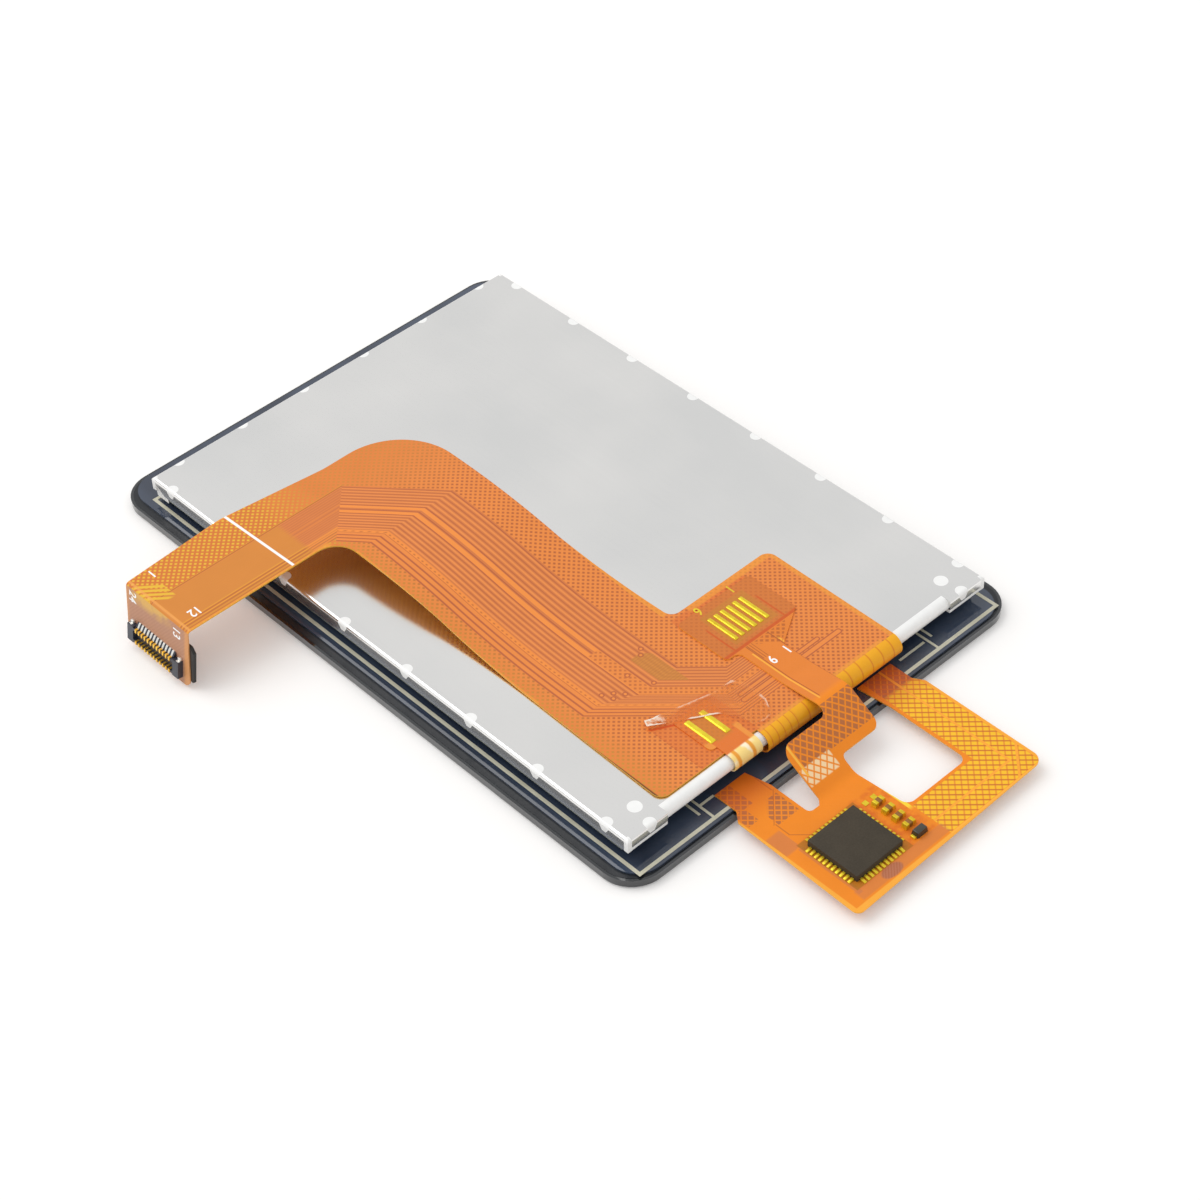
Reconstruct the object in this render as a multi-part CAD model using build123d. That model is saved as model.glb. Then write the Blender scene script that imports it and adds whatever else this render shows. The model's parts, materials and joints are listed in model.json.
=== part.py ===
"""Small colour display module with a touch panel, lying face down.

Frame: the origin is the centre of the cover glass's front face, which rests on z = 0. +Z points to
the steel back, +Y along the long axis away from the end where the circuits leave. Lengths are in mm.
"""

from build123d import *

import math
import os

OUT_DIR = "parts"

# Active area, and the margins that each layer round it adds
ACTIVE_W = 36.72
ACTIVE_L = 48.96
SHEET_OVERLAP_X = 0.34
SHEET_OVERLAP_TOP = 0.67
GUIDE_OVERLAP_END = 1.47
SHEET_GAP = 0.10
FRAME_WALL_X = 0.92
FRAME_WALL_TOP = 1.27
LIGHT_BAY_L = 3.40
BAR_BODY_L = 1.93
STEEL_T = 0.20
COVER_RIM_X = 1.78
COVER_RIM_TOP = 3.18
COVER_RIM_END = 2.12

# Cover glass and touch sensor
COVER_T = 0.80
COVER_CORNER_R = 3.0
COVER_CHAMFER = 0.15
INK_T = 0.03
INK_INSET = 0.25
INK_MARGIN = 0.10
LENS_GLUE_T = 0.05
SENSOR_T = 0.12
SENSOR_INSET_X = 0.85
SENSOR_INSET_Y = 0.35
SENSOR_CORNER_R = 2.4

# Silver line printed round the sensor, and its branches at the circuit end
TRACE_T = 0.02
TRACE_W = 0.32
TRACE_THIN_W = 0.22
TRACE_INSET_X = 0.82
TRACE_INSET_TOP = 2.95
TRACE_INSET_END = 0.45
BRANCH_LEFT_X = -12.19
BRANCH_RIGHT_X = 13.13
BRANCH_GAP = 0.60
BRANCH_UNDER = 1.33
HOOK_DROP = 0.33
HOOK_END_X = 9.9

# Display cell
CELL_GAP_X = 0.02
CELL_GAP_TOP = 0.17
FILTER_STEP = 0.30
FILTER_T = 0.40
FILTER_OVERLAP_END = 2.47
TFT_T = 0.40
TFT_GAP = 0.20
POLARIZER_T = 0.13
POLARIZER_STEP = 0.30
POLARIZER_STEP_END = 0.50
GASKET_T = 0.15
GASKET_MARGIN = 0.27
DRIVER_L = 17.5
DRIVER_W = 1.0
DRIVER_T = 0.36
DRIVER_GAP = 0.40

# Light source behind the cell
RIM_TAPE_T = 0.06
RIM_TAPE_INSET = 0.25
RIM_TAPE_INSET_Y = 0.10
PRISM_T = 0.07
DIFFUSER_T = 0.06
GUIDE_T = 0.71
REFLECTOR_T = 0.08
LAMP_COUNT = 4
LAMP_PITCH = 8.0
LAMP_L = 3.0
LAMP_W = 1.0
LAMP_T = 0.60
LAMP_GAP = 0.05
LIGHT_STRIP_T = 0.10
LIGHT_STRIP_MARGIN = 3.0

# Steel back, and the white frame that shows in its notches
STEEL_WALL_H = 1.24
STEEL_BEND_R = 0.28
END_WALL_L = 4.12
BAR_INSET = 0.78
BAR_EDGE_INSET = 1.01
BAR_LIP = 0.10
PIP_R = 0.52
PIP_H = 0.80
PIP_TIP_W = 0.44
PIP_REACH = 0.80
PIP_REACH_TOP = 0.58
PIP_COUNT_Y = 8
PIP_COUNT_X = 6
PIP_MARGIN_Y = 2.57
PIP_MARGIN_X = 2.85
PIP_MARGIN_END = 2.52
CORNER_SIZE = 0.42
DOWEL_R = 0.60
DOWEL_INSET_X = 2.82
DOWEL_INSET_Y = 2.17
POST_LEG = 1.55
POST_DEPTH = 2.02
POST_GAP = 0.09
LIP_INSET = 0.03
LIP_H = 0.34

# Main flexible circuit
FLEX_T = 0.12
GLUE_T = 0.04
GLUE_INSET = 0.40
STRIP_LEFT_X = -15.40
STRIP_RIGHT_X = -1.10
STRIP_WAIST = 0.55
BLOCK_RIGHT_X = 9.85
BLOCK_L = 14.43
BLOCK_CORNER_R = 0.9
WRAP_LEFT_X = -5.20
WRAP_GAP = 0.05
BOND_LAND_L = 1.50
RAMP_GAP = 0.50
RAMP_L = 23.80
TAIL_RISE = 2.04
TAIL_W = 8.10
TAIL_NARROW = 0.60
TAIL_FLARE = 0.65
BEND_OUT_R = 6.1
BEND_IN_R = 2.2
TAIL_REACH = 10.20
FOLD_R = 0.30
FLAP_L = 5.15
FLAP_TURN = 80.5
FLAP_LEAN = 0.35
FLAP_CORNER_R = 0.7

# Board connector and stiffener on the flap
PLUG_L = 6.7
PLUG_W = 1.58
PLUG_H = 0.50
PLUG_WALL = 0.32
PLUG_END_WALL = 0.75
PLUG_FLOOR = 0.16
PLUG_RECESS = 0.10
PLUG_DROP = 3.77
PLUG_SHIFT = 0.10
PLUG_PINS = 12
PLUG_PITCH = 0.40
PIN_W = 0.17
PIN_T = 0.06
PIN_FOOT = 0.40
PIN_FOOT_T = 0.09
HOLD_DOWN_HALF = 0.45
HOLD_DOWN_LAND = 0.42
HOLD_DOWN_T = 0.14
STIFFENER_T = 0.30
STIFFENER_SHIFT = 0.60
STIFFENER_DROP = 1.20
STIFFENER_H = 3.30
STIFFENER_CUT = 0.45

# Touch flexible circuit, with its lengths measured from the steel's end
TOUCH_LEFT_X = -11.40
TOUCH_RIGHT_X = 9.62
TOUCH_REACH = 15.37
TOUCH_SKEW = 0.45
TOUCH_TAPER = 0.25
LEG_UNDER = 0.23
LEG_STEP_REACH = 2.07
LEG_STEP_L = 0.90
LEFT_LEG_OUTER_X = -10.65
LEFT_LEG_INNER_X = -6.90
NECK_LEFT_X = -5.40
NECK_RIGHT_X = -1.50
NECK_FLARE = 0.45
BIG_WINDOW_REACH = 10.77
RIGHT_LEG_INNER_X = 5.55
RIGHT_LEG_OUTER_X = 9.05
RISE_REACH = 6.07
RISE_ANGLE = 31.3
RISE_R = 1.50
CREST_REACH = 0.47
DROP_ANGLE = 5.5
DROP_R = 6.0
JOG_TOP_REACH = 1.57
JOG_LOW_REACH = 4.22
UPPER_NECK_LEFT_X = -0.30
UPPER_NECK_RIGHT_X = 2.90
PADDLE_LEFT_X = -1.60
PADDLE_RIGHT_X = 6.60
PADDLE_INSET = 1.00
PADDLE_L = 5.60
PADDLE_SHOULDER = 1.80

# Soldered strips, light circuit's tongue and the torn film over them
JOINT_T = 0.06
TOUCH_JOINTS = 6
TOUCH_JOINT_PITCH = 0.70
TOUCH_JOINT_X = 2.42
TOUCH_JOINT_INSET = 2.92
TOUCH_JOINT_SIZE = (0.36, 3.20)
LIGHT_JOINT_X = (-8.50, -6.92)
LIGHT_JOINT_INSET = 2.20
LIGHT_JOINT_SIZE = (0.50, 3.00)
LIGHT_LAND_X = (-9.30, -5.70)
LIGHT_TONGUE_X = (-8.70, -5.80)
LIGHT_LAND_REACH = 6.13
LIGHT_LAND_L = 4.20
LIGHT_WRAP_GAP = 0.12
LIGHT_SLOT_GAP = 0.10
TAPE_T = 0.05

# Touch chip and the row of small parts, placed from the chip's centre
CHIP_SIZE = 5.0
CHIP_T = 0.62
CHIP_X = -6.92
CHIP_REACH = 10.67
LEAD_COUNT = 11
LEAD_PITCH = 0.42
LEAD_W = 0.22
LEAD_REACH = 0.42
LEAD_T = 0.16
PASSIVE_COUNT = 4
PASSIVE_SHIFT_X = 4.32
PASSIVE_SHIFT_Y = 1.60
PASSIVE_PITCH = 1.013
PASSIVE_L = 0.90
PASSIVE_W = 0.50
PASSIVE_T = 0.45
PASSIVE_CAP = 0.22
PASSIVE_SOLDER = 0.12
DIODE_SHIFT_Y = -2.52
DIODE_SIZE = (1.15, 0.70, 0.50)
BARE_PAD_SHIFT_X = -0.22
BARE_PAD_SHIFT_Y = 2.28
BARE_PAD_GAP = 0.92
BARE_PAD_SIZE = 0.45
BARE_PAD_T = 0.04

# Length by which a cutting body passes the surface it cuts
OVERCUT = 1.0

# Widths, from the active area outwards
SHEET_W = ACTIVE_W + 2 * SHEET_OVERLAP_X
FRAME_WINDOW_W = SHEET_W + 2 * SHEET_GAP
BACK_W = FRAME_WINDOW_W + 2 * (FRAME_WALL_X + STEEL_T)
COVER_W = BACK_W + 2 * COVER_RIM_X
TFT_W = BACK_W - 2 * (STEEL_T + CELL_GAP_X)
FILTER_W = TFT_W - 2 * FILTER_STEP
POLARIZER_W = FILTER_W - 2 * POLARIZER_STEP
BAR_HALF_W = BACK_W / 2 - END_WALL_L
LIGHT_STRIP_W = (LAMP_COUNT - 1) * LAMP_PITCH + LAMP_L + 2 * LIGHT_STRIP_MARGIN

# Places along the object, from the cover's far edge to its near one
BACK_L = (
    STEEL_T + FRAME_WALL_TOP + SHEET_GAP + SHEET_OVERLAP_TOP
    + ACTIVE_L + GUIDE_OVERLAP_END + LIGHT_BAY_L + BAR_BODY_L
)
COVER_L = BACK_L + COVER_RIM_TOP + COVER_RIM_END
BACK_TOP_Y = COVER_L / 2 - COVER_RIM_TOP
BACK_END_Y = BACK_TOP_Y - BACK_L
BACK_MID_Y = (BACK_TOP_Y + BACK_END_Y) / 2
WINDOW_TOP_Y = BACK_TOP_Y - STEEL_T - FRAME_WALL_TOP
SHEET_TOP_Y = WINDOW_TOP_Y - SHEET_GAP
ACTIVE_TOP_Y = SHEET_TOP_Y - SHEET_OVERLAP_TOP
ACTIVE_END_Y = ACTIVE_TOP_Y - ACTIVE_L
GUIDE_END_Y = ACTIVE_END_Y - GUIDE_OVERLAP_END
BAY_END_Y = GUIDE_END_Y - LIGHT_BAY_L
CELL_TOP_Y = BACK_TOP_Y - STEEL_T - CELL_GAP_TOP
CELL_CHAMFER = POST_LEG - CELL_GAP_X - CELL_GAP_TOP + POST_GAP
FILTER_END_Y = ACTIVE_END_Y - FILTER_OVERLAP_END
DRIVER_Y = FILTER_END_Y - DRIVER_GAP - DRIVER_W / 2
BAR_Y = BACK_END_Y + BAR_INSET
BAR_EDGE_Y = BACK_END_Y + BAR_EDGE_INSET
WRAP_Y = BAR_Y - WRAP_GAP
LIGHT_WRAP_Y = WRAP_Y - LIGHT_WRAP_GAP
TFT_END_Y = WRAP_Y + TFT_GAP
FLEX_END_Y = BAR_EDGE_Y + LIGHT_WRAP_GAP
BLOCK_TOP_Y = BACK_END_Y + BLOCK_L
RAMP_START_Y = BLOCK_TOP_Y + RAMP_GAP
RAMP_END_Y = RAMP_START_Y + RAMP_L
TAIL_LOW_Y = RAMP_END_Y
TAIL_HIGH_Y = TAIL_LOW_Y + TAIL_W
TAIL_MID_Y = (TAIL_LOW_Y + TAIL_HIGH_Y) / 2
FOLD_X = -BACK_W / 2 - TAIL_REACH
PLUG_Y = TAIL_MID_Y - PLUG_SHIFT
LIGHT_LAND_TOP_Y = BACK_END_Y + LIGHT_LAND_REACH
LIGHT_JOINT_Y = LIGHT_LAND_TOP_Y - LIGHT_JOINT_INSET
PADDLE_TOP_Y = BLOCK_TOP_Y - PADDLE_INSET
PADDLE_LOW_Y = PADDLE_TOP_Y - PADDLE_L
TOUCH_JOINT_Y = PADDLE_TOP_Y - TOUCH_JOINT_INSET
RISE_START_Y = BACK_END_Y - RISE_REACH
CREST_Y = BACK_END_Y - CREST_REACH
LEG_STEP_Y = BACK_END_Y - LEG_STEP_REACH
TOUCH_START_Y = BACK_END_Y + LEG_UNDER
TOUCH_END_Y = BACK_END_Y - TOUCH_REACH
CHIP_Y = BACK_END_Y - CHIP_REACH
PASSIVE_X = CHIP_X + PASSIVE_SHIFT_X
DIODE_Y = CHIP_Y + DIODE_SHIFT_Y
BARE_PAD_Y = CHIP_Y + BARE_PAD_SHIFT_Y

# Levels that several pieces share, from the table up
Z_INK = COVER_T
Z_LENS_GLUE = Z_INK + INK_T
Z_SENSOR = Z_LENS_GLUE + LENS_GLUE_T
Z_SENSOR_TOP = Z_SENSOR + SENSOR_T
Z_TOUCH_TOP = Z_SENSOR_TOP + FLEX_T
Z_FRONT_POLARIZER = Z_SENSOR_TOP + GASKET_T
Z_FILTER = Z_FRONT_POLARIZER + POLARIZER_T
Z_TFT = Z_FILTER + FILTER_T
Z_TFT_TOP = Z_TFT + TFT_T
Z_FRAME = Z_TFT_TOP + RIM_TAPE_T
Z_PRISM_FRONT = Z_TFT_TOP + POLARIZER_T
Z_PRISM_BACK = Z_PRISM_FRONT + PRISM_T
Z_DIFFUSER = Z_PRISM_BACK + PRISM_T
Z_GUIDE = Z_DIFFUSER + DIFFUSER_T
Z_REFLECTOR = Z_GUIDE + GUIDE_T
Z_STEEL_IN = Z_REFLECTOR + REFLECTOR_T
Z_BACK = Z_STEEL_IN + STEEL_T
Z_WALL = Z_BACK - STEEL_WALL_H
Z_FLEX = Z_BACK + GLUE_T
Z_FLEX_TOP = Z_FLEX + FLEX_T
Z_TAIL_TOP = Z_FLEX_TOP + TAIL_RISE
Z_PADDLE_TOP = Z_FLEX_TOP + FLEX_T
Z_LIGHT_LAND_TOP = Z_FLEX_TOP + LIGHT_STRIP_T
BAR_R = (Z_BACK - Z_FRAME) / 2


def slab(x0, x1, y0, y1, z0, z1):
    """Box between two corners."""
    box = Box(x1 - x0, y1 - y0, z1 - z0)
    return Pos((x0 + x1) / 2, (y0 + y1) / 2, (z0 + z1) / 2) * box


def plate(plan, z0, z1):
    """Flat sheet of a plan outline between two levels."""
    return extrude(Plane.XY.offset(z0) * plan, z1 - z0)


def outline(corners):
    """Closed plan outline; each corner is (x, y, radius)."""
    shape = make_face(Polyline([(x, y) for x, y, _ in corners], close=True))
    for x, y, radius in corners:
        if radius > 0:
            nearest = shape.vertices().sort_by_distance((x, y, 0))[0]
            shape = fillet(nearest, radius)
    return shape


def rectangle(x0, x1, y0, y1, radius=0.0):
    """Plan rectangle with equal corner radii."""
    return outline([(x0, y0, radius), (x1, y0, radius), (x1, y1, radius), (x0, y1, radius)])


def chamfered(half_w, y0, y1, cut):
    """Plan rectangle whose two corners at the far end are cut off at 45 degrees."""
    return outline(
        [
            (-half_w, y0, 0),
            (half_w, y0, 0),
            (half_w, y1 - cut, 0),
            (half_w - cut, y1, 0),
            (-half_w + cut, y1, 0),
            (-half_w, y1 - cut, 0),
        ]
    )


def ribbon(start, heading, moves, thickness):
    """Section of a thin sheet bent along lines and arcs.

    Each move is ("line", length) or ("turn", radius, degrees); a positive turn is anticlockwise.
    """
    u, v = start
    angle = math.radians(heading)
    half = thickness / 2
    left, right = [], []
    for move in moves:
        du, dv = math.cos(angle), math.sin(angle)
        if move[0] == "line":
            end = (u + du * move[1], v + dv * move[1])
            for side, edges in ((half, left), (-half, right)):
                shift = (-dv * side, du * side)
                edges.append(
                    Line((u + shift[0], v + shift[1]), (end[0] + shift[0], end[1] + shift[1]))
                )
        else:
            radius, turn = move[1], math.radians(move[2])
            sign = 1 if turn > 0 else -1
            centre = (u - dv * radius * sign, v + du * radius * sign)

            def point(a, side):
                reach = radius - sign * side
                return (
                    centre[0] + math.sin(a) * reach * sign,
                    centre[1] - math.cos(a) * reach * sign,
                )

            for side, edges in ((half, left), (-half, right)):
                edges.append(
                    ThreePointArc(
                        point(angle, side), point(angle + turn / 2, side), point(angle + turn, side)
                    )
                )
            end = point(angle + turn, 0)
            angle += turn
        u, v = end
    caps = [Line(left[0] @ 0, right[0] @ 0), Line(left[-1] @ 1, right[-1] @ 1)]
    return make_face(left + right + caps)


def sweep_x(section, x0, x1):
    """Section drawn in (y, z), carried from x0 to x1."""
    return extrude(Plane.YZ.offset(x0) * section, x1 - x0)


def sweep_y(section, y0, y1):
    """Section drawn in (x, z), carried from y0 to y1."""
    return extrude(Plane.XZ.offset(-y1) * section, y1 - y0)


def cover_lens():
    """Cover glass with rounded corners and a ground front edge."""
    half_w, half_l = COVER_W / 2, COVER_L / 2
    glass = plate(rectangle(-half_w, half_w, -half_l, half_l, COVER_CORNER_R), 0, COVER_T)
    return chamfer(glass.edges().group_by(Axis.Z)[0], COVER_CHAMFER)


def window(margin):
    """Plan of the active area grown by a margin."""
    half_w = ACTIVE_W / 2 + margin
    return rectangle(-half_w, half_w, ACTIVE_END_Y - margin, ACTIVE_TOP_Y + margin)


def border_ink():
    """Dark printed border behind the cover glass."""
    half_w, half_l = COVER_W / 2 - INK_INSET, COVER_L / 2 - INK_INSET
    ring = rectangle(-half_w, half_w, -half_l, half_l, COVER_CORNER_R - INK_INSET)
    return plate(ring - window(INK_MARGIN), Z_INK, Z_LENS_GLUE)


def sensor_plan():
    """Plan of the touch sensor and its adhesive."""
    half_w, half_l = COVER_W / 2 - SENSOR_INSET_X, COVER_L / 2 - SENSOR_INSET_Y
    return rectangle(-half_w, half_w, -half_l, half_l, SENSOR_CORNER_R)


def line_x(y, x0, x1, width):
    """Printed line across the object."""
    return rectangle(x0, x1, y - width / 2, y + width / 2)


def line_y(x, y0, y1, width):
    """Printed line along the object."""
    return rectangle(x - width / 2, x + width / 2, y0, y1)


def guard_traces():
    """Silver ground line printed round the touch sensor, with its branches at the circuit end."""
    half = TRACE_W / 2
    side = COVER_W / 2 - SENSOR_INSET_X - TRACE_INSET_X
    top = COVER_L / 2 - SENSOR_INSET_Y - TRACE_INSET_TOP
    end = -COVER_L / 2 + SENSOR_INSET_Y + TRACE_INSET_END
    under = BACK_END_Y + BRANCH_UNDER
    loop = rectangle(-side - half, side + half, end - half, top + half)
    loop -= rectangle(-side + half, side - half, end + half, top - half)
    left_hook, right_hook = BRANCH_LEFT_X - BRANCH_GAP, BRANCH_RIGHT_X + BRANCH_GAP
    loop += line_y(BRANCH_LEFT_X, end, under, TRACE_THIN_W)
    loop += line_y(left_hook, BACK_END_Y - HOOK_DROP, under, TRACE_THIN_W)
    loop += line_x(BACK_END_Y + HOOK_DROP, BRANCH_LEFT_X, LEFT_LEG_OUTER_X, TRACE_THIN_W)
    loop += line_y(BRANCH_RIGHT_X, end, under, TRACE_THIN_W)
    loop += line_y(right_hook, BACK_END_Y, under, TRACE_THIN_W)
    loop += line_x(BACK_END_Y, HOOK_END_X, BRANCH_RIGHT_X - TRACE_W, TRACE_THIN_W)
    z1 = Z_SENSOR_TOP + TRACE_T
    return plate(loop, Z_SENSOR_TOP, z1) - plate(touch_plate_plan(), Z_SENSOR_TOP, z1)


def polarizer_plan():
    """Plan of the polarizer that faces the cover."""
    return chamfered(
        POLARIZER_W / 2, FILTER_END_Y + POLARIZER_STEP_END, CELL_TOP_Y - POLARIZER_STEP, CELL_CHAMFER
    )


def bonding_tape():
    """Ring of adhesive foam between the touch sensor and the cell."""
    return plate(polarizer_plan() - window(GASKET_MARGIN), Z_SENSOR_TOP, Z_FRONT_POLARIZER)


def filter_glass():
    """Front glass of the cell, which carries the colour filter."""
    return plate(chamfered(FILTER_W / 2, FILTER_END_Y, CELL_TOP_Y, CELL_CHAMFER), Z_FILTER, Z_TFT)


def tft_glass():
    """Rear glass of the cell with the ledge for the driver chip."""
    return plate(chamfered(TFT_W / 2, TFT_END_Y, CELL_TOP_Y, CELL_CHAMFER), Z_TFT, Z_TFT_TOP)


def driver_chip():
    """Long bare chip on the front of the ledge."""
    half_l, half_w = DRIVER_L / 2, DRIVER_W / 2
    return slab(-half_l, half_l, DRIVER_Y - half_w, DRIVER_Y + half_w, Z_TFT - DRIVER_T, Z_TFT)


def sheet(z0, thickness, end_y=GUIDE_END_Y):
    """One full-width optical sheet."""
    half = SHEET_W / 2
    return slab(-half, half, end_y, SHEET_TOP_Y, z0, z0 + thickness)


def rim_tape():
    """Tape ring that holds the cell to the frame."""
    ring = chamfered(
        TFT_W / 2 - RIM_TAPE_INSET, TFT_END_Y + RIM_TAPE_INSET_Y, CELL_TOP_Y - RIM_TAPE_INSET_Y,
        CELL_CHAMFER,
    )
    half = FRAME_WINDOW_W / 2
    ring -= rectangle(-half, half, GUIDE_END_Y - SHEET_GAP, WINDOW_TOP_Y)
    return plate(ring, Z_TFT_TOP, Z_FRAME)


def back_block(z0, z1, inset=0.0):
    """Box of the steel back's plan between two levels."""
    half = BACK_W / 2 - inset
    return slab(-half, half, BACK_END_Y + inset, BACK_TOP_Y - inset, z0, z1)


def steel_envelope():
    """Outside of the pressed tray as a solid block with its rounded bends."""
    block = back_block(Z_WALL, Z_BACK)
    return fillet(block.edges().group_by(Axis.Z)[-1], STEEL_BEND_R)


def notch_places():
    """Points on the back's edge where a pip shows: x, y, the edge's turn and the notch's reach."""
    half = BACK_W / 2
    places = []
    step = (BACK_L - 2 * PIP_MARGIN_Y) / (PIP_COUNT_Y - 1)
    for k in range(PIP_COUNT_Y):
        y = BACK_END_Y + PIP_MARGIN_Y + k * step
        places += [(-half, y, -90, PIP_REACH), (half, y, 90, PIP_REACH)]
    step = (BACK_W - 2 * PIP_MARGIN_X) / (PIP_COUNT_X - 1)
    for k in range(PIP_COUNT_X):
        places.append((-half + PIP_MARGIN_X + k * step, BACK_TOP_Y, 180, PIP_REACH_TOP))
    for side in (-1, 1):
        places.append((side * (half - PIP_MARGIN_END), BACK_END_Y, 0, PIP_REACH))
    return places


def notch_body(x, y, turn, reach):
    """Notch over the back's edge: half round on the back, straight over the bend, tapered below."""
    inset = reach - PIP_R
    on_back = Pos(0, inset, -STEEL_BEND_R / 2) * Cylinder(PIP_R, STEEL_BEND_R)
    over_bend = slab(-PIP_R, PIP_R, 0, inset, -STEEL_BEND_R, 0)
    tip = PIP_TIP_W / 2
    taper = [(-PIP_R, -STEEL_BEND_R), (PIP_R, -STEEL_BEND_R), (tip, -PIP_H), (-tip, -PIP_H)]
    section = Plane.XZ * make_face(Polyline(taper, close=True))
    on_wall = extrude(section, -STEEL_BEND_R)
    return Pos(x, y, Z_BACK) * Rot(0, 0, turn) * (on_back + over_bend + on_wall)


def corner_body(side, end):
    """Block of the frame that fills one open corner of the tray."""
    x = side * BACK_W / 2
    y = BACK_TOP_Y if end > 0 else BACK_END_Y
    x0, x1 = sorted((x, x - side * CORNER_SIZE))
    y0, y1 = sorted((y, y - end * CORNER_SIZE))
    return slab(x0, x1, y0, y1, Z_WALL, Z_BACK)


def inlays():
    """Parts of the frame that fill the steel's notches, corners and dowel holes, flush outside."""
    bodies = [notch_body(*place) for place in notch_places()]
    bodies += [corner_body(side, end) for side in (-1, 1) for end in (-1, 1)]
    for side in (-1, 1):
        x, y = side * (BACK_W / 2 - DOWEL_INSET_X), BACK_END_Y + DOWEL_INSET_Y
        bodies.append(Pos(x, y, Z_BACK - STEEL_T / 2) * Cylinder(DOWEL_R, STEEL_T))
    envelope = steel_envelope()
    return [body & envelope for body in bodies]


def relief_section(half_depth):
    """Slanted cut in a side wall beside a far corner, drawn in (y, z)."""
    return make_face(
        Polyline(
            [
                (BACK_TOP_Y + half_depth, Z_BACK - CORNER_SIZE),
                (BACK_TOP_Y - CORNER_SIZE, Z_BACK - CORNER_SIZE),
                (BACK_TOP_Y - POST_LEG, Z_WALL),
                (BACK_TOP_Y - POST_LEG, Z_WALL - OVERCUT),
                (BACK_TOP_Y + half_depth, Z_WALL - OVERCUT),
            ],
            close=True,
        )
    )


def steel_back(bodies):
    """Polished steel tray with short walls, half-round notches and two dowel holes."""
    shell = steel_envelope()
    shell -= back_block(Z_WALL - OVERCUT, Z_STEEL_IN, STEEL_T)
    # Open end where the circuits leave
    near = BACK_END_Y - OVERCUT
    shell -= slab(-BAR_HALF_W, BAR_HALF_W, near, BAR_EDGE_Y, Z_WALL - OVERCUT, Z_BACK + OVERCUT)
    # The end walls beside the opening stop above the frame's lip
    shell -= slab(-BACK_W, BACK_W, near, BACK_END_Y + STEEL_T, Z_WALL - OVERCUT, Z_FRAME + LIP_H)
    relief = relief_section(OVERCUT)
    for side in (-1, 1):
        x = side * BACK_W / 2
        shell -= sweep_x(relief, x - 2 * STEEL_T, x + 2 * STEEL_T)
    for body in bodies:
        shell -= body
    return shell


def backlight_frame(bodies):
    """White moulded frame: side walls, round end bar, corner posts and the pips in the notches."""
    half = BACK_W / 2 - STEEL_T
    half_in = FRAME_WINDOW_W / 2
    frame = back_block(Z_FRAME, Z_STEEL_IN, STEEL_T)
    # Lip below the steel's end walls
    lip_y = BACK_END_Y + LIP_INSET
    frame += slab(-half, half, lip_y, BACK_END_Y + STEEL_T, Z_FRAME, Z_FRAME + LIP_H)
    # Between the end walls the frame stops at a fully rounded bar
    near = BACK_END_Y - OVERCUT
    frame -= slab(-BAR_HALF_W, BAR_HALF_W, near, BAR_Y, Z_FRAME - OVERCUT, Z_BACK)
    bar = Pos(0, BAR_Y, Z_BACK - BAR_R) * Rot(0, 90, 0) * Cylinder(BAR_R, 2 * BAR_HALF_W)
    bar += slab(-BAR_HALF_W, BAR_HALF_W, BAR_Y, BAR_EDGE_Y, Z_STEEL_IN - BAR_LIP, Z_BACK)
    bar -= slab(-BAR_HALF_W, BAR_HALF_W, BAR_EDGE_Y, BAR_EDGE_Y + OVERCUT, Z_STEEL_IN, Z_BACK)
    frame += bar
    # Window for the sheets and the bay for the lights
    frame -= slab(
        -half_in, half_in, BAY_END_Y - SHEET_GAP, WINDOW_TOP_Y, Z_FRAME - OVERCUT, Z_STEEL_IN
    )
    # Slot under the bar for the light circuit
    slot_top = Z_FRAME + LIGHT_STRIP_T + LIGHT_SLOT_GAP
    frame -= slab(LIGHT_LAND_X[0], LIGHT_LAND_X[1], near, BAY_END_Y, Z_FRAME - OVERCUT, slot_top)
    # Posts that guard the far corners of the cell
    for side in (-1, 1):
        x, y = side * half, BACK_TOP_Y - STEEL_T
        post = make_face(Polyline([(x, y), (x - side * POST_LEG, y), (x, y - POST_LEG)], close=True))
        frame += plate(post, Z_BACK - POST_DEPTH, Z_STEEL_IN)
    for body in bodies:
        frame += body
    return frame


def lamp_places():
    """Positions of the lamps across the object."""
    return [(k - (LAMP_COUNT - 1) / 2) * LAMP_PITCH for k in range(LAMP_COUNT)]


def led_packages():
    """Row of side-lit lamps at the end of the light guide."""
    z0 = Z_FRAME + LIGHT_STRIP_T
    y1 = GUIDE_END_Y - LAMP_GAP
    half = LAMP_L / 2
    lamps = [slab(x - half, x + half, y1 - LAMP_W, y1, z0, z0 + LAMP_T) for x in lamp_places()]
    return Compound(children=lamps)


def led_flex():
    """Strip under the lamps with a tongue that wraps the bar and lands on the main circuit."""
    mid = Z_FRAME + LIGHT_STRIP_T / 2
    top = Z_FLEX_TOP + LIGHT_STRIP_T / 2
    strip_end = BAY_END_Y + SHEET_GAP
    start = strip_end + LIGHT_STRIP_T
    moves = [
        ("line", start - LIGHT_WRAP_Y),
        ("turn", (top - mid) / 2, -180),
        ("line", LIGHT_LAND_TOP_Y - LIGHT_LAND_L / 2 - LIGHT_WRAP_Y),
    ]
    tongue = sweep_x(ribbon((start, mid), 180, moves, LIGHT_STRIP_T), *LIGHT_TONGUE_X)
    land = rectangle(*LIGHT_LAND_X, LIGHT_LAND_TOP_Y - LIGHT_LAND_L, LIGHT_LAND_TOP_Y, 0.4)
    half = LIGHT_STRIP_W / 2
    strip = slab(-half, half, strip_end, GUIDE_END_Y - SHEET_GAP, Z_FRAME, Z_FRAME + LIGHT_STRIP_T)
    return strip + tongue + plate(land, Z_FLEX_TOP, Z_LIGHT_LAND_TOP)


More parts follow.
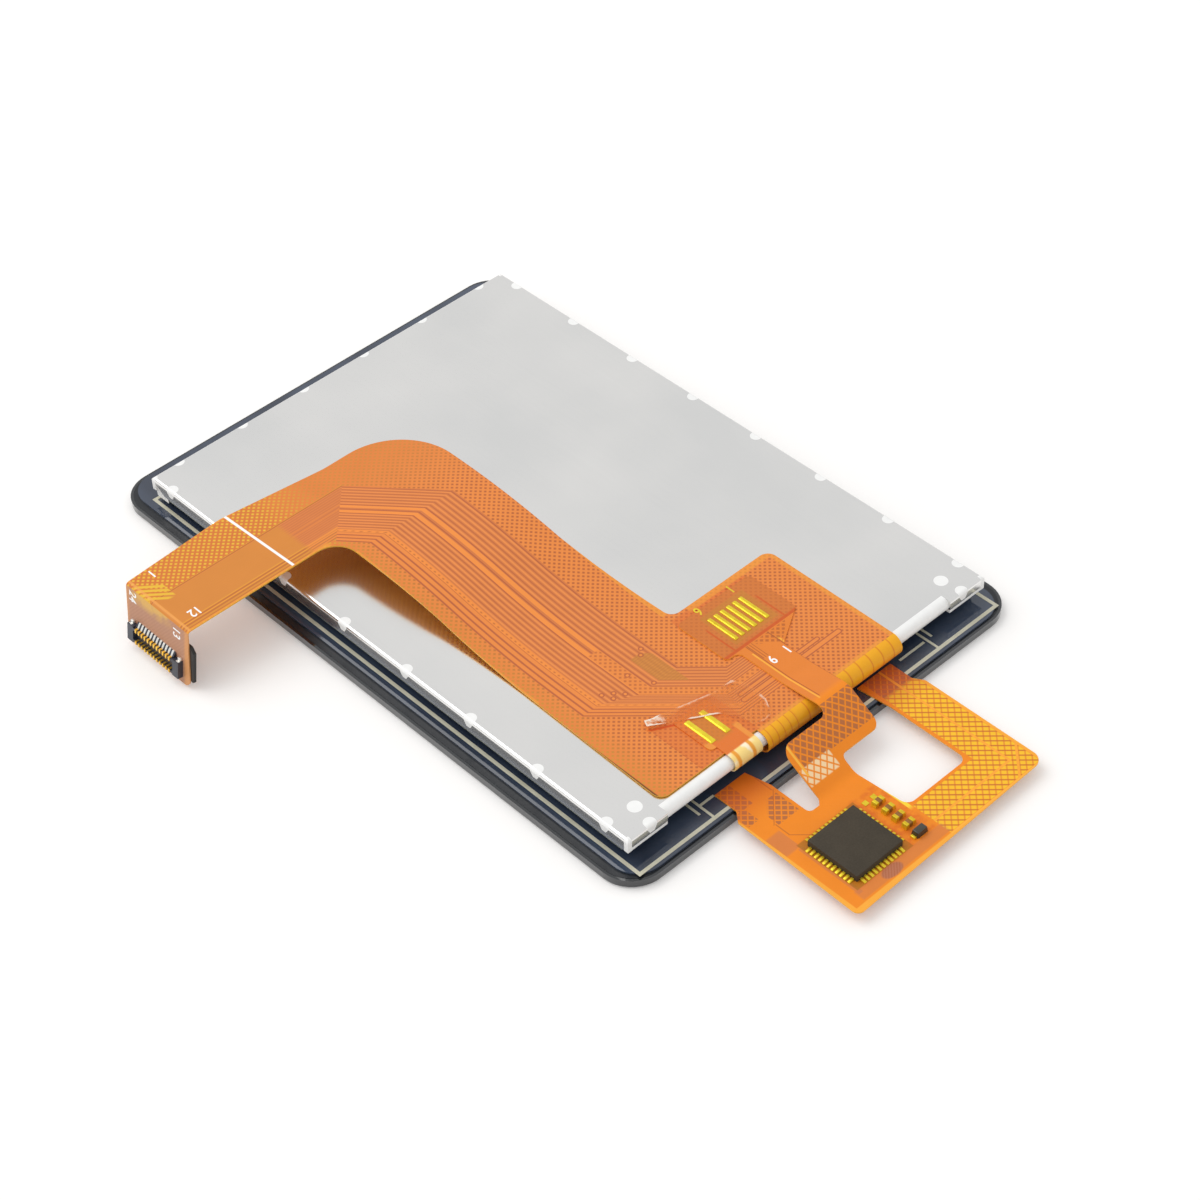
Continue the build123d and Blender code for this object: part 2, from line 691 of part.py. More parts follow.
def main_flex_plan():
    """Plan of the main circuit from the bonded block to the fold of its tail."""
    waist_y = (RAMP_START_Y + RAMP_END_Y) / 2
    shoulder_x = STRIP_LEFT_X - TAIL_REACH / 2
    return outline(
        [
            (STRIP_LEFT_X, FLEX_END_Y, BLOCK_CORNER_R),
            (WRAP_LEFT_X, FLEX_END_Y, 0),
            (WRAP_LEFT_X, WRAP_Y, 0),
            (BLOCK_RIGHT_X, WRAP_Y, 0),
            (BLOCK_RIGHT_X, BLOCK_TOP_Y, BLOCK_CORNER_R),
            (STRIP_RIGHT_X, BLOCK_TOP_Y, BLOCK_CORNER_R),
            (STRIP_RIGHT_X - STRIP_WAIST, waist_y, 0),
            (STRIP_RIGHT_X - STRIP_WAIST, TAIL_HIGH_Y - TAIL_NARROW, BEND_OUT_R),
            ((STRIP_LEFT_X + STRIP_RIGHT_X) / 2 - BEND_IN_R, TAIL_HIGH_Y - TAIL_NARROW, BEND_OUT_R),
            (shoulder_x, TAIL_HIGH_Y + TAIL_FLARE, BEND_OUT_R),
            (FOLD_X, TAIL_HIGH_Y, 0),
            (FOLD_X - OVERCUT, TAIL_HIGH_Y, 0),
            (FOLD_X - OVERCUT, TAIL_LOW_Y, 0),
            (STRIP_LEFT_X + STRIP_WAIST / 2, TAIL_LOW_Y, BEND_IN_R),
            (STRIP_LEFT_X + STRIP_WAIST, waist_y, 0),
        ]
    )


def main_flex():
    """Main circuit: bonded to the ledge, wrapped round the bar, raised, bent and folded down."""
    mid = Z_FLEX + FLEX_T / 2
    run = RAMP_END_Y - RAMP_START_Y
    radius = (run * run + TAIL_RISE * TAIL_RISE) / (4 * TAIL_RISE)
    turn = math.degrees(math.asin(run / 2 / radius))
    moves = [
        ("line", RAMP_START_Y - WRAP_Y),
        ("turn", radius, turn),
        ("turn", radius, -turn),
        ("line", TAIL_HIGH_Y + OVERCUT - RAMP_END_Y),
    ]
    raised = sweep_x(ribbon((WRAP_Y, mid), 0, moves, FLEX_T), FOLD_X, BLOCK_RIGHT_X)
    body = raised & plate(main_flex_plan(), Z_BACK - OVERCUT, Z_TAIL_TOP + OVERCUT)
    wrap_r = (mid - (Z_TFT - FLEX_T / 2)) / 2
    wrap = ribbon((WRAP_Y, mid), 180, [("turn", wrap_r, 180), ("line", BOND_LAND_L)], FLEX_T)
    body += sweep_x(wrap, WRAP_LEFT_X, BLOCK_RIGHT_X)
    fold = ribbon((FOLD_X, Z_TAIL_TOP - FLEX_T / 2), 180, [("turn", FOLD_R, FLAP_TURN)], FLEX_T)
    body += sweep_y(fold, TAIL_LOW_Y, TAIL_HIGH_Y)
    # The plane's second axis runs along -Y
    flap = outline(
        [
            (0, -TAIL_LOW_Y, 0),
            (FLAP_L, -TAIL_LOW_Y + FLAP_LEAN, FLAP_CORNER_R),
            (FLAP_L, -TAIL_HIGH_Y + FLAP_LEAN, FLAP_CORNER_R / 2),
            (0, -TAIL_HIGH_Y, 0),
        ]
    )
    return body + extrude(flap_plane(0, 0, -FLEX_T) * flap, FLEX_T)


def flex_adhesive():
    """Double-sided tape that holds the main circuit to the steel."""
    low = FLEX_END_Y + GLUE_INSET
    strip = rectangle(
        STRIP_LEFT_X + STRIP_WAIST + GLUE_INSET, STRIP_RIGHT_X - GLUE_INSET, low, RAMP_START_Y
    )
    block = rectangle(
        STRIP_RIGHT_X - GLUE_INSET, BLOCK_RIGHT_X - GLUE_INSET, low, BLOCK_TOP_Y - GLUE_INSET
    )
    return plate(strip + block, Z_BACK, Z_FLEX)


def flap_plane(drop, y, lift):
    """Plane on the flap's outer face: x runs down the flap, y along the fold, z outward."""
    turn = math.radians(180 + FLAP_TURN)
    down = Vector(math.cos(turn), 0, math.sin(turn))
    out = Vector(math.sin(turn), 0, -math.cos(turn))
    centre = Vector(FOLD_X, 0, Z_TAIL_TOP - FLEX_T / 2 - FOLD_R)
    start = centre + out * (FOLD_R + FLEX_T / 2)
    origin = start + down * drop + out * lift + Vector(0, y, 0)
    return Plane(origin=origin, x_dir=down, z_dir=out)


def on_flap(drop0, drop1, y0, y1, z0, z1):
    """Box on the flap: drop along the flap, y along the fold, z outward from its face."""
    block = Pos((drop0 + drop1) / 2, 0, (z0 + z1) / 2) * Box(abs(drop1 - drop0), y1 - y0, z1 - z0)
    return flap_plane(0, (y0 + y1) / 2, 0) * block


def connector_housing():
    """Open moulded trough of the board connector, with ends that stand proud of its sides."""
    top, low = PLUG_DROP - PLUG_W / 2, PLUG_DROP + PLUG_W / 2
    y0, y1 = PLUG_Y - PLUG_L / 2, PLUG_Y + PLUG_L / 2
    in0, in1 = y0 + PLUG_END_WALL, y1 - PLUG_END_WALL
    above = PLUG_H + OVERCUT
    body = on_flap(top, low, y0, y1, 0, PLUG_H)
    body -= on_flap(top + PLUG_WALL, low - PLUG_WALL, in0, in1, PLUG_FLOOR, above)
    body -= on_flap(top - OVERCUT, top + PLUG_RECESS, in0, in1, -OVERCUT, above)
    body -= on_flap(low - PLUG_RECESS, low + OVERCUT, in0, in1, -OVERCUT, above)
    return body


def contact(y, side):
    """One contact: a foot on the circuit, a riser, a crown over the wall and an inner leg."""
    wall = PLUG_DROP + side * (PLUG_W / 2 - PLUG_RECESS)
    inner = PLUG_DROP + side * (PLUG_W / 2 - PLUG_WALL)
    toe = wall + side * (PLUG_RECESS + PIN_FOOT)
    y0, y1 = y - PIN_W / 2, y + PIN_W / 2
    top = PLUG_H + PIN_T
    body = on_flap(wall, toe, y0, y1, 0, PIN_FOOT_T)
    body += on_flap(wall, wall + side * PIN_T, y0, y1, 0, top)
    body += on_flap(inner - side * PIN_T, wall + side * PIN_T, y0, y1, PLUG_H, top)
    body += on_flap(inner - side * PIN_T, inner, y0, y1, PLUG_FLOOR, top)
    return body


def connector_contacts():
    """Two rows of contacts along the board connector."""
    places = [PLUG_Y + (k - (PLUG_PINS - 1) / 2) * PLUG_PITCH for k in range(PLUG_PINS)]
    return Compound(children=[contact(y, side) for side in (-1, 1) for y in places])


def connector_hold_downs():
    """Metal clips over both ends of the connector."""
    top, low = PLUG_DROP - HOLD_DOWN_HALF, PLUG_DROP + HOLD_DOWN_HALF
    clips = []
    for side in (-1, 1):
        end = PLUG_Y + side * PLUG_L / 2
        out = end + side * HOLD_DOWN_T
        y0, y1 = sorted((end, out))
        clip = on_flap(top, low, y0, y1, 0, PLUG_H + PIN_T)
        y0, y1 = sorted((end - side * HOLD_DOWN_LAND, out))
        clips.append(clip + on_flap(top, low, y0, y1, PLUG_H, PLUG_H + PIN_T))
    return Compound(children=clips)


def flex_stiffener():
    """Black plate behind the flap, wider than it on one side and with one corner cut."""
    y0, y1 = TAIL_LOW_Y - STIFFENER_SHIFT, TAIL_HIGH_Y - STIFFENER_CUT
    top, low = STIFFENER_DROP, STIFFENER_DROP + STIFFENER_H
    # The plane's second axis runs along -Y
    corners = [
        (low, -y0),
        (low, -y1),
        (top, -y1),
        (top, -y0 - STIFFENER_CUT),
        (top + STIFFENER_CUT, -y0),
    ]
    shape = make_face(Polyline(corners, close=True))
    return extrude(flap_plane(0, 0, -FLEX_T - STIFFENER_T) * shape, STIFFENER_T)


def touch_plate_plan():
    """Plan of the touch circuit's flat part: a plate with two bonded legs."""
    step_y = LEG_STEP_Y - LEG_STEP_L
    window_y = BACK_END_Y - BIG_WINDOW_REACH
    return outline(
        [
            (TOUCH_LEFT_X - TOUCH_TAPER, TOUCH_END_Y, 0.6),
            (TOUCH_RIGHT_X, TOUCH_END_Y + TOUCH_SKEW, 1.0),
            (TOUCH_RIGHT_X, step_y, 0.3),
            (RIGHT_LEG_OUTER_X, LEG_STEP_Y, 0.3),
            (RIGHT_LEG_OUTER_X, TOUCH_START_Y, 0),
            (RIGHT_LEG_INNER_X - 0.35, TOUCH_START_Y, 0),
            (RIGHT_LEG_INNER_X, step_y, 0.5),
            (RIGHT_LEG_INNER_X, window_y, 0.8),
            (NECK_RIGHT_X + 0.35, window_y, 0.8),
            (NECK_RIGHT_X, RISE_START_Y, 0),
            (LEFT_LEG_INNER_X, RISE_START_Y, NECK_FLARE),
            (LEFT_LEG_INNER_X, LEG_STEP_Y, 0.3),
            (LEFT_LEG_INNER_X - 0.5, TOUCH_START_Y, 0),
            (LEFT_LEG_OUTER_X, TOUCH_START_Y, 0),
            (LEFT_LEG_OUTER_X, LEG_STEP_Y, 0.3),
            (TOUCH_LEFT_X, step_y, 0.3),
        ]
    )


def touch_neck_plan():
    """Plan of the neck that climbs from the plate, jogs sideways and ends in the soldered paddle."""
    jog_top, jog_low = BACK_END_Y - JOG_TOP_REACH, BACK_END_Y - JOG_LOW_REACH
    return outline(
        [
            (NECK_LEFT_X - NECK_FLARE, RISE_START_Y, 0),
            (NECK_RIGHT_X, RISE_START_Y, 0),
            (NECK_RIGHT_X, jog_low, 0.5),
            (UPPER_NECK_RIGHT_X, jog_low, 0.7),
            (UPPER_NECK_RIGHT_X, PADDLE_LOW_Y - PADDLE_SHOULDER, 0.6),
            (PADDLE_RIGHT_X, PADDLE_LOW_Y + 0.4, 0.4),
            (PADDLE_RIGHT_X, PADDLE_TOP_Y, 0.5),
            (PADDLE_LEFT_X, PADDLE_TOP_Y, 0.5),
            (PADDLE_LEFT_X, PADDLE_LOW_Y, 0.4),
            (UPPER_NECK_LEFT_X, PADDLE_LOW_Y, 0.6),
            (UPPER_NECK_LEFT_X, jog_top, 0.7),
            (NECK_LEFT_X, jog_top, 1.0),
            (NECK_LEFT_X, RISE_START_Y + NECK_FLARE, NECK_FLARE),
        ]
    )


def touch_flex():
    """Touch circuit: plate on the glass's rim, climbing neck and paddle on the main circuit."""
    low = Z_SENSOR_TOP + FLEX_T / 2
    top = Z_FLEX_TOP + FLEX_T / 2
    rise, drop = math.radians(RISE_ANGLE), math.radians(DROP_ANGLE)
    climb = (CREST_Y - RISE_START_Y - 2 * RISE_R * math.sin(rise)) / math.cos(rise)
    crest = low + 2 * RISE_R * (1 - math.cos(rise)) + climb * math.sin(rise)
    fall = crest - top - (RISE_R + DROP_R) * (1 - math.cos(drop))
    slope = fall / math.sin(drop)
    land_y = CREST_Y + (RISE_R + DROP_R) * math.sin(drop) + slope * math.cos(drop)
    moves = [
        ("turn", RISE_R, RISE_ANGLE),
        ("line", climb),
        ("turn", RISE_R, -RISE_ANGLE - DROP_ANGLE),
        ("line", slope),
        ("turn", DROP_R, DROP_ANGLE),
        ("line", PADDLE_TOP_Y + OVERCUT - land_y),
    ]
    section = ribbon((RISE_START_Y, low), 0, moves, FLEX_T)
    neck = sweep_x(section, LEFT_LEG_INNER_X, PADDLE_RIGHT_X + OVERCUT)
    neck &= plate(touch_neck_plan(), 0, crest + OVERCUT)
    return plate(touch_plate_plan(), Z_SENSOR_TOP, Z_TOUCH_TOP) + neck


def soldered_strips(places, y, size, z0):
    """Row of soldered strips, one at each place across the object."""
    w, l = size
    strips = [slab(x - w / 2, x + w / 2, y - l / 2, y + l / 2, z0, z0 + JOINT_T) for x in places]
    return Compound(children=strips)


def touch_joints():
    """Six soldered strips that join the touch circuit to the main circuit."""
    first = TOUCH_JOINT_X - (TOUCH_JOINTS - 1) / 2 * TOUCH_JOINT_PITCH
    places = [first + k * TOUCH_JOINT_PITCH for k in range(TOUCH_JOINTS)]
    return soldered_strips(places, TOUCH_JOINT_Y, TOUCH_JOINT_SIZE, Z_PADDLE_TOP)


def led_joints():
    """Two soldered strips that join the light circuit to the main circuit."""
    return soldered_strips(LIGHT_JOINT_X, LIGHT_JOINT_Y, LIGHT_JOINT_SIZE, Z_LIGHT_LAND_TOP)


def retaining_tape():
    """Torn piece of amber film over the ends of the soldered strips.

    Its corners are given from the far end of the light circuit's left strip.
    """
    x, y = LIGHT_JOINT_X[0], LIGHT_LAND_TOP_Y
    torn = [
        (-2.3, 1.5), (-0.9, 1.2), (3.6, 0.0), (5.5, -0.1), (6.1, -1.5), (6.1, -3.7),
        (5.2, -4.9), (3.4, -4.7), (2.4, -2.0), (-1.1, 0.1), (-2.6, 0.9),
    ]
    shape = make_face(Polyline([(x + dx, y + dy) for dx, dy in torn], close=True))
    z0 = Z_LIGHT_LAND_TOP + JOINT_T
    return plate(shape, z0, z0 + TAPE_T)


def on_touch_plate(x0, x1, y0, y1, height):
    """Box that stands on the touch circuit's plate."""
    return slab(x0, x1, y0, y1, Z_TOUCH_TOP, Z_TOUCH_TOP + height)


def touch_controller():
    """Square flat chip on the touch circuit."""
    half = CHIP_SIZE / 2
    return on_touch_plate(CHIP_X - half, CHIP_X + half, CHIP_Y - half, CHIP_Y + half, CHIP_T)


def controller_leads():
    """Soldered leads on all four sides of the chip."""
    leads = []
    half = CHIP_SIZE / 2
    for k in range(LEAD_COUNT):
        middle = (k - (LEAD_COUNT - 1) / 2) * LEAD_PITCH
        a, b = middle - LEAD_W / 2, middle + LEAD_W / 2
        for side in (-1, 1):
            near, far = sorted((side * half, side * (half + LEAD_REACH)))
            leads.append(on_touch_plate(CHIP_X + near, CHIP_X + far, CHIP_Y + a, CHIP_Y + b, LEAD_T))
            leads.append(on_touch_plate(CHIP_X + a, CHIP_X + b, CHIP_Y + near, CHIP_Y + far, LEAD_T))
    return Compound(children=leads)


def passive_places():
    """Positions of the capacitors along the object."""
    return [CHIP_Y + PASSIVE_SHIFT_Y - k * PASSIVE_PITCH for k in range(PASSIVE_COUNT)]


def chip_capacitors():
    """Ceramic bodies of the row of small capacitors."""
    half_l, half_w = PASSIVE_L / 2 - PASSIVE_CAP, PASSIVE_W / 2
    bodies = [
        on_touch_plate(PASSIVE_X - half_l, PASSIVE_X + half_l, y - half_w, y + half_w, PASSIVE_T)
        for y in passive_places()
    ]
    return Compound(children=bodies)


def capacitor_ends():
    """Soldered metal ends of the capacitors."""
    half_w = PASSIVE_W / 2
    ends = []
    for y in passive_places():
        for side in (-1, 1):
            inner = PASSIVE_X + side * (PASSIVE_L / 2 - PASSIVE_CAP)
            outer = PASSIVE_X + side * (PASSIVE_L / 2 + PASSIVE_SOLDER)
            x0, x1 = sorted((inner, outer))
            ends.append(on_touch_plate(x0, x1, y - half_w, y + half_w, PASSIVE_T))
    return Compound(children=ends)


def small_diode():
    """Dark moulded two-lead part at the end of the row."""
    half_l, half_w = DIODE_SIZE[0] / 2, DIODE_SIZE[1] / 2
    x0, x1 = PASSIVE_X - half_l, PASSIVE_X + half_l
    return on_touch_plate(x0, x1, DIODE_Y - half_w, DIODE_Y + half_w, DIODE_SIZE[2])


def bare_pads():
    """Two unfitted gold pads at the start of the row."""
    half = BARE_PAD_SIZE / 2
    pads = []
    for side in (-1, 1):
        x = PASSIVE_X + BARE_PAD_SHIFT_X + side * BARE_PAD_GAP / 2
        pads.append(on_touch_plate(x - half, x + half, BARE_PAD_Y - half, BARE_PAD_Y + half, BARE_PAD_T))
    return Compound(children=pads)


def nodes():
    """Every node of the assembly by name."""
    bodies = inlays()
    return {
        "cover_lens": cover_lens(),
        "border_ink": border_ink(),
        "lens_adhesive": plate(sensor_plan(), Z_LENS_GLUE, Z_SENSOR),
        "touch_sensor": plate(sensor_plan(), Z_SENSOR, Z_SENSOR_TOP),
        "guard_traces": guard_traces(),
        "bonding_tape": bonding_tape(),
        "front_polarizer": plate(polarizer_plan(), Z_FRONT_POLARIZER, Z_FILTER),
        "filter_glass": filter_glass(),
        "tft_glass": tft_glass(),
        "driver_chip": driver_chip(),
        "rear_polarizer": sheet(Z_TFT_TOP, POLARIZER_T),
        "rim_tape": rim_tape(),
        "prism_sheet_front": sheet(Z_PRISM_FRONT, PRISM_T),
        "prism_sheet_back": sheet(Z_PRISM_BACK, PRISM_T),
        "diffuser_sheet": sheet(Z_DIFFUSER, DIFFUSER_T),
        "light_guide": sheet(Z_GUIDE, GUIDE_T),
        "reflector_sheet": sheet(Z_REFLECTOR, REFLECTOR_T, BAY_END_Y),
        "backlight_frame": backlight_frame(bodies),
        "led_packages": led_packages(),
        "led_flex": led_flex(),
        "steel_back": steel_back(bodies),
        "main_flex": main_flex(),
        "flex_adhesive": flex_adhesive(),
        "flex_stiffener": flex_stiffener(),
        "connector_housing": connector_housing(),
        "connector_contacts": connector_contacts(),
        "connector_hold_downs": connector_hold_downs(),
        "touch_flex": touch_flex(),
        "touch_joints": touch_joints(),
        "led_joints": led_joints(),
        "retaining_tape": retaining_tape(),
        "touch_controller": touch_controller(),
        "controller_leads": controller_leads(),
        "chip_capacitors": chip_capacitors(),
        "capacitor_ends": capacitor_ends(),
        "small_diode": small_diode(),
        "bare_pads": bare_pads(),
    }


os.makedirs(OUT_DIR, exist_ok=True)
for name, shape in nodes().items():
    export_step(shape, f"{OUT_DIR}/{name}.step")
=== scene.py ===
"""Looks of a small colour display module with a touch panel, lying face down on a pale table.

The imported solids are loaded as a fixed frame. This script dresses every solid in a procedural
finish, models the fine pieces that the solids only block out, and sets up the table, the lamps and
the camera. Lengths are in millimetres and are turned into metres where a piece is made.
"""

import json
import logging
import math
from dataclasses import dataclass
from enum import Enum
from typing import Callable, Sequence, Union

import bmesh
import bpy
from mathutils import Matrix, Vector

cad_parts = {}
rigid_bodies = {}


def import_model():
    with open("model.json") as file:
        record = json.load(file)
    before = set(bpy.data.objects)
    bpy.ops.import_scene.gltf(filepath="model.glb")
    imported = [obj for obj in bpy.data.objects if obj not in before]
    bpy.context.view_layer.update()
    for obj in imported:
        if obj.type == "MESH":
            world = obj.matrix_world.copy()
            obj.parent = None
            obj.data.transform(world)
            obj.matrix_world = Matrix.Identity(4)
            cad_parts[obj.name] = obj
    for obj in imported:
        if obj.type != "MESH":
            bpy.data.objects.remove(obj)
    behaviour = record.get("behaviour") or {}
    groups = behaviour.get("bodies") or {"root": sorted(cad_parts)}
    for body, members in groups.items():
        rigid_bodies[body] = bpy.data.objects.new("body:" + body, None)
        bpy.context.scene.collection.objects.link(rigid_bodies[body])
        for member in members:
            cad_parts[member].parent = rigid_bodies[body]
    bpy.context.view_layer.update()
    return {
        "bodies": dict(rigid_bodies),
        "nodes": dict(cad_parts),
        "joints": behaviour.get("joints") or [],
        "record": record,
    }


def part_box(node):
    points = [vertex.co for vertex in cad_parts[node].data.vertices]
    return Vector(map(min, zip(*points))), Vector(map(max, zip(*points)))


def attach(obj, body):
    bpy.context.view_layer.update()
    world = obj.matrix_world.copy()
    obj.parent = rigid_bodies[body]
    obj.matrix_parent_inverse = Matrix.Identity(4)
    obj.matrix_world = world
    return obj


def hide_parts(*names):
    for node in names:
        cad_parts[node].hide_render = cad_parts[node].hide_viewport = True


LOG = logging.getLogger("display_module")
MM = 0.001
BODY = "root"
ROOT_TWO = math.sqrt(2.0)
# Distance in metres below which two places count as one
NEAR = 1e-6

Colour = tuple[float, float, float]
Point = tuple[float, float, float]
Span = tuple[float, float]
Socket = bpy.types.NodeSocket
Material = bpy.types.Material
Piece = bpy.types.Object
Test = Callable[[object], bool]


@dataclass(frozen=True)
class Lines:
    """Evenly spaced lines: pitch, share of it that a line takes, and the middle of one line.

    The edges are soft over the last number, which is also a share of the pitch.
    """

    pitch: float
    share: float
    start: float = 0.0
    soft: float = 0.12


@dataclass(frozen=True)
class Patch:
    """Rectangle with its sides along x and y, and the widths over which its edges fade."""

    xs: Span
    ys: Span
    soft_x: float = 0.03
    soft_y: float = 0.03


def linear(colour: Colour) -> tuple[float, float, float, float]:
    """Turns a colour as it is seen on a screen into the shader's linear colour.

    Args:
        colour: Red, green and blue from 0 to 255.

    Returns:
        Linear red, green, blue and a full alpha.
    """
    parts = []
    for part in colour:
        share = part / 255.0
        parts.append(share / 12.92 if share <= 0.04045 else ((share + 0.055) / 1.055) ** 2.4)
    return (parts[0], parts[1], parts[2], 1.0)


class Field:
    """A number that varies over a surface, with arithmetic that adds nodes to its tree."""

    def __init__(self, tree: "PaintTree", socket: Socket) -> None:
        """Keeps the tree and the output that carries the number."""
        self.tree = tree
        self.socket = socket

    def _with(self, operation: str, *others: Union["Field", float], clamp: bool = False) -> "Field":
        """Adds a Math node that starts from this number."""
        return self.tree.math(operation, self, *others, clamp=clamp)

    def __add__(self, other: Union["Field", float]) -> "Field":
        """Sum."""
        return self._with("ADD", other)

    def __sub__(self, other: Union["Field", float]) -> "Field":
        """Difference."""
        return self._with("SUBTRACT", other)

    def __mul__(self, other: Union["Field", float]) -> "Field":
        """Product."""
        return self._with("MULTIPLY", other)

    def rest(self) -> "Field":
        """Mask of where this mask is not."""
        return self * -1.0 + 1.0

    def size(self) -> "Field":
        """The number without its sign."""
        return self._with("ABSOLUTE")

    def fraction(self) -> "Field":
        """The part after the whole number below."""
        return self._with("FRACT")

    def root(self) -> "Field":
        """Square root."""
        return self._with("SQRT")

    def least(self, other: Union["Field", float]) -> "Field":
        """The lower of two numbers."""
        return self._with("MINIMUM", other)

    def most(self, other: Union["Field", float]) -> "Field":
        """The higher of two numbers."""
        return self._with("MAXIMUM", other)

    def above(self, edge: float, soft: float = 0.03) -> "Field":
        """Mask that is 1 above an edge, a half at it, and changes over a soft width."""
        return self._with("MULTIPLY_ADD", 1.0 / soft, 0.5 - edge / soft, clamp=True)

    def below(self, edge: float, soft: float = 0.03) -> "Field":
        """Mask that is 1 below an edge, as above() is for the other side."""
        return self._with("MULTIPLY_ADD", -1.0 / soft, 0.5 + edge / soft, clamp=True)

    def between(self, low: float, high: float, soft: float = 0.03) -> "Field":
        """Mask that is 1 from low to high."""
        return self.above(low, soft) * self.below(high, soft)

    def near(self, middle: float, width: float, soft: float = 0.03) -> "Field":
        """Mask that is 1 within half a width of a middle."""
        return (self - middle).size().below(width / 2, soft)

    def comb(self, lines: Lines) -> "Field":
        """Mask of evenly spaced lines."""
        turned = (self * (1.0 / lines.pitch) + (0.5 - lines.start / lines.pitch)).fraction()
        return (turned - 0.5).size().below(lines.share / 2, lines.soft)


class PaintTree:
    """Node tree of one material, in the object's own coordinates."""

    def __init__(self, name: str) -> None:
        """Starts a material with its principled shader and its coordinates in millimetres.

        Args:
            name: The material's name.
        """
        self.material = bpy.data.materials.new(name)
        self.material.use_nodes = True
        self.nodes = self.material.node_tree.nodes
        self.links = self.material.node_tree.links
        self.shader = self.nodes["Principled BSDF"]
        place = self.nodes.new("ShaderNodeTexCoord")
        self.place = place.outputs["Object"]
        self.x, self.y, self.z = (part * (1.0 / MM) for part in self.split(self.place))
        self.facing = self.split(place.outputs["Normal"])[2]
        self.ground: Union[Socket, None] = None

    def split(self, vector: Socket) -> list[Field]:
        """Splits a vector into its three numbers.

        Args:
            vector: Output that carries the vector.

        Returns:
            Its x, y and z.
        """
        node = self.nodes.new("ShaderNodeSeparateXYZ")
        self.links.new(vector, node.inputs[0])
        return [Field(self, output) for output in node.outputs]

    def math(self, operation: str, *values: Union[Field, float], clamp: bool = False) -> Field:
        """Adds a Math node.

        Args:
            operation: Name of the operation.
            values: Its inputs, numbers or fields.
            clamp: Whether the result stays from 0 to 1.

        Returns:
            The result as a field.
        """
        node = self.nodes.new("ShaderNodeMath")
        node.operation = operation
        node.use_clamp = clamp
        for socket, value in zip(node.inputs, values):
            if isinstance(value, Field):
                self.links.new(value.socket, socket)
            else:
                socket.default_value = value
        return Field(self, node.outputs[0])

    def noise(self, per_mm: float, detail: float = 2.0, stretch: Point = (1.0, 1.0, 1.0)) -> Field:
        """Adds a soft random pattern.

        Args:
            per_mm: Cells in a millimetre.
            detail: Octaves of finer detail.
            stretch: Factors on the three coordinates.

        Returns:
            Field from 0 to 1.
        """
        mapping = self.nodes.new("ShaderNodeMapping")
        mapping.inputs["Scale"].default_value = stretch
        self.links.new(self.place, mapping.inputs["Vector"])
        node = self.nodes.new("ShaderNodeTexNoise")
        node.inputs["Scale"].default_value = per_mm / MM
        node.inputs["Detail"].default_value = detail
        self.links.new(mapping.outputs[0], node.inputs["Vector"])
        return Field(self, node.outputs[0])

    def flat(self, colour: Colour) -> Socket:
        """Adds an even colour.

        Args:
            colour: The colour as it is seen on a screen.

        Returns:
            Output that carries it.
        """
        node = self.nodes.new("ShaderNodeRGB")
        node.outputs[0].default_value = linear(colour)
        return node.outputs[0]

    def over(self, ground: Socket, mask: Field, colour: Union[Colour, Socket]) -> Socket:
        """Paints a colour over another where a mask is 1.

        Args:
            ground: Colour below.
            mask: Where the new colour shows.
            colour: The new colour.

        Returns:
            The painted colour.
        """
        node = self.nodes.new("ShaderNodeMix")
        node.data_type = "RGBA"
        self.links.new(mask.socket, node.inputs[0])
        self.links.new(ground, node.inputs[6])
        if isinstance(colour, tuple):
            node.inputs[7].default_value = linear(colour)
        else:
            self.links.new(colour, node.inputs[7])
        return node.outputs[2]

    def lay(self, colour: Colour) -> None:
        """Starts the painting with an even colour."""
        self.ground = self.flat(colour)

    def paint(self, mask: Field, colour: Union[Colour, Socket]) -> None:
        """Paints a colour over what is painted so far, where a mask is 1."""
        self.ground = self.over(self.ground, mask, colour)

    def patch(self, area: Patch) -> Field:
        """Mask of a rectangle."""
        return self.x.between(*area.xs, area.soft_x) * self.y.between(*area.ys, area.soft_y)

    def holes(self, pitch: float, share: float) -> Field:
        """Mask of the holes in a copper mesh at 45 degrees, by their pitch along x and share."""
        lines = Lines(pitch * ROOT_TWO, share, 0.0, 0.2)
        return (self.x + self.y).comb(lines) * (self.x - self.y).comb(lines)

    def shade(self, ground: Socket, amount: Field) -> Socket:
        """Multiplies a colour by a field.

        Args:
            ground: The colour.
            amount: What it is multiplied by.

        Returns:
            The shaded colour.
        """
        node = self.nodes.new("ShaderNodeVectorMath")
        node.operation = "SCALE"
        self.links.new(ground, node.inputs[0])
        self.links.new(amount.socket, node.inputs["Scale"])
        return node.outputs[0]

    def relief(self, height: Field, depth: float) -> None:
        """Gives the surface a relief.

        Args:
            height: Field from 0 to 1.
            depth: Height of 1, in millimetres.
        """
        node = self.nodes.new("ShaderNodeBump")
        node.inputs["Distance"].default_value = depth * MM
        self.links.new(height.socket, node.inputs["Height"])
        self.links.new(node.outputs[0], self.shader.inputs["Normal"])

    def colour(self, painted: Socket) -> None:
        """Uses a painted colour as the surface's colour."""
        self.links.new(painted, self.shader.inputs["Base Color"])

    def feed(self, name: str, value: Field) -> None:
        """Links a field to one of the shader's inputs."""
        self.links.new(value.socket, self.shader.inputs[name])

    def hold(self, **values: float) -> None:
        """Sets constants on the shader's own inputs, named with low lines for blanks."""
        for name, value in values.items():
            self.shader.inputs[name.replace("_", " ")].default_value = value


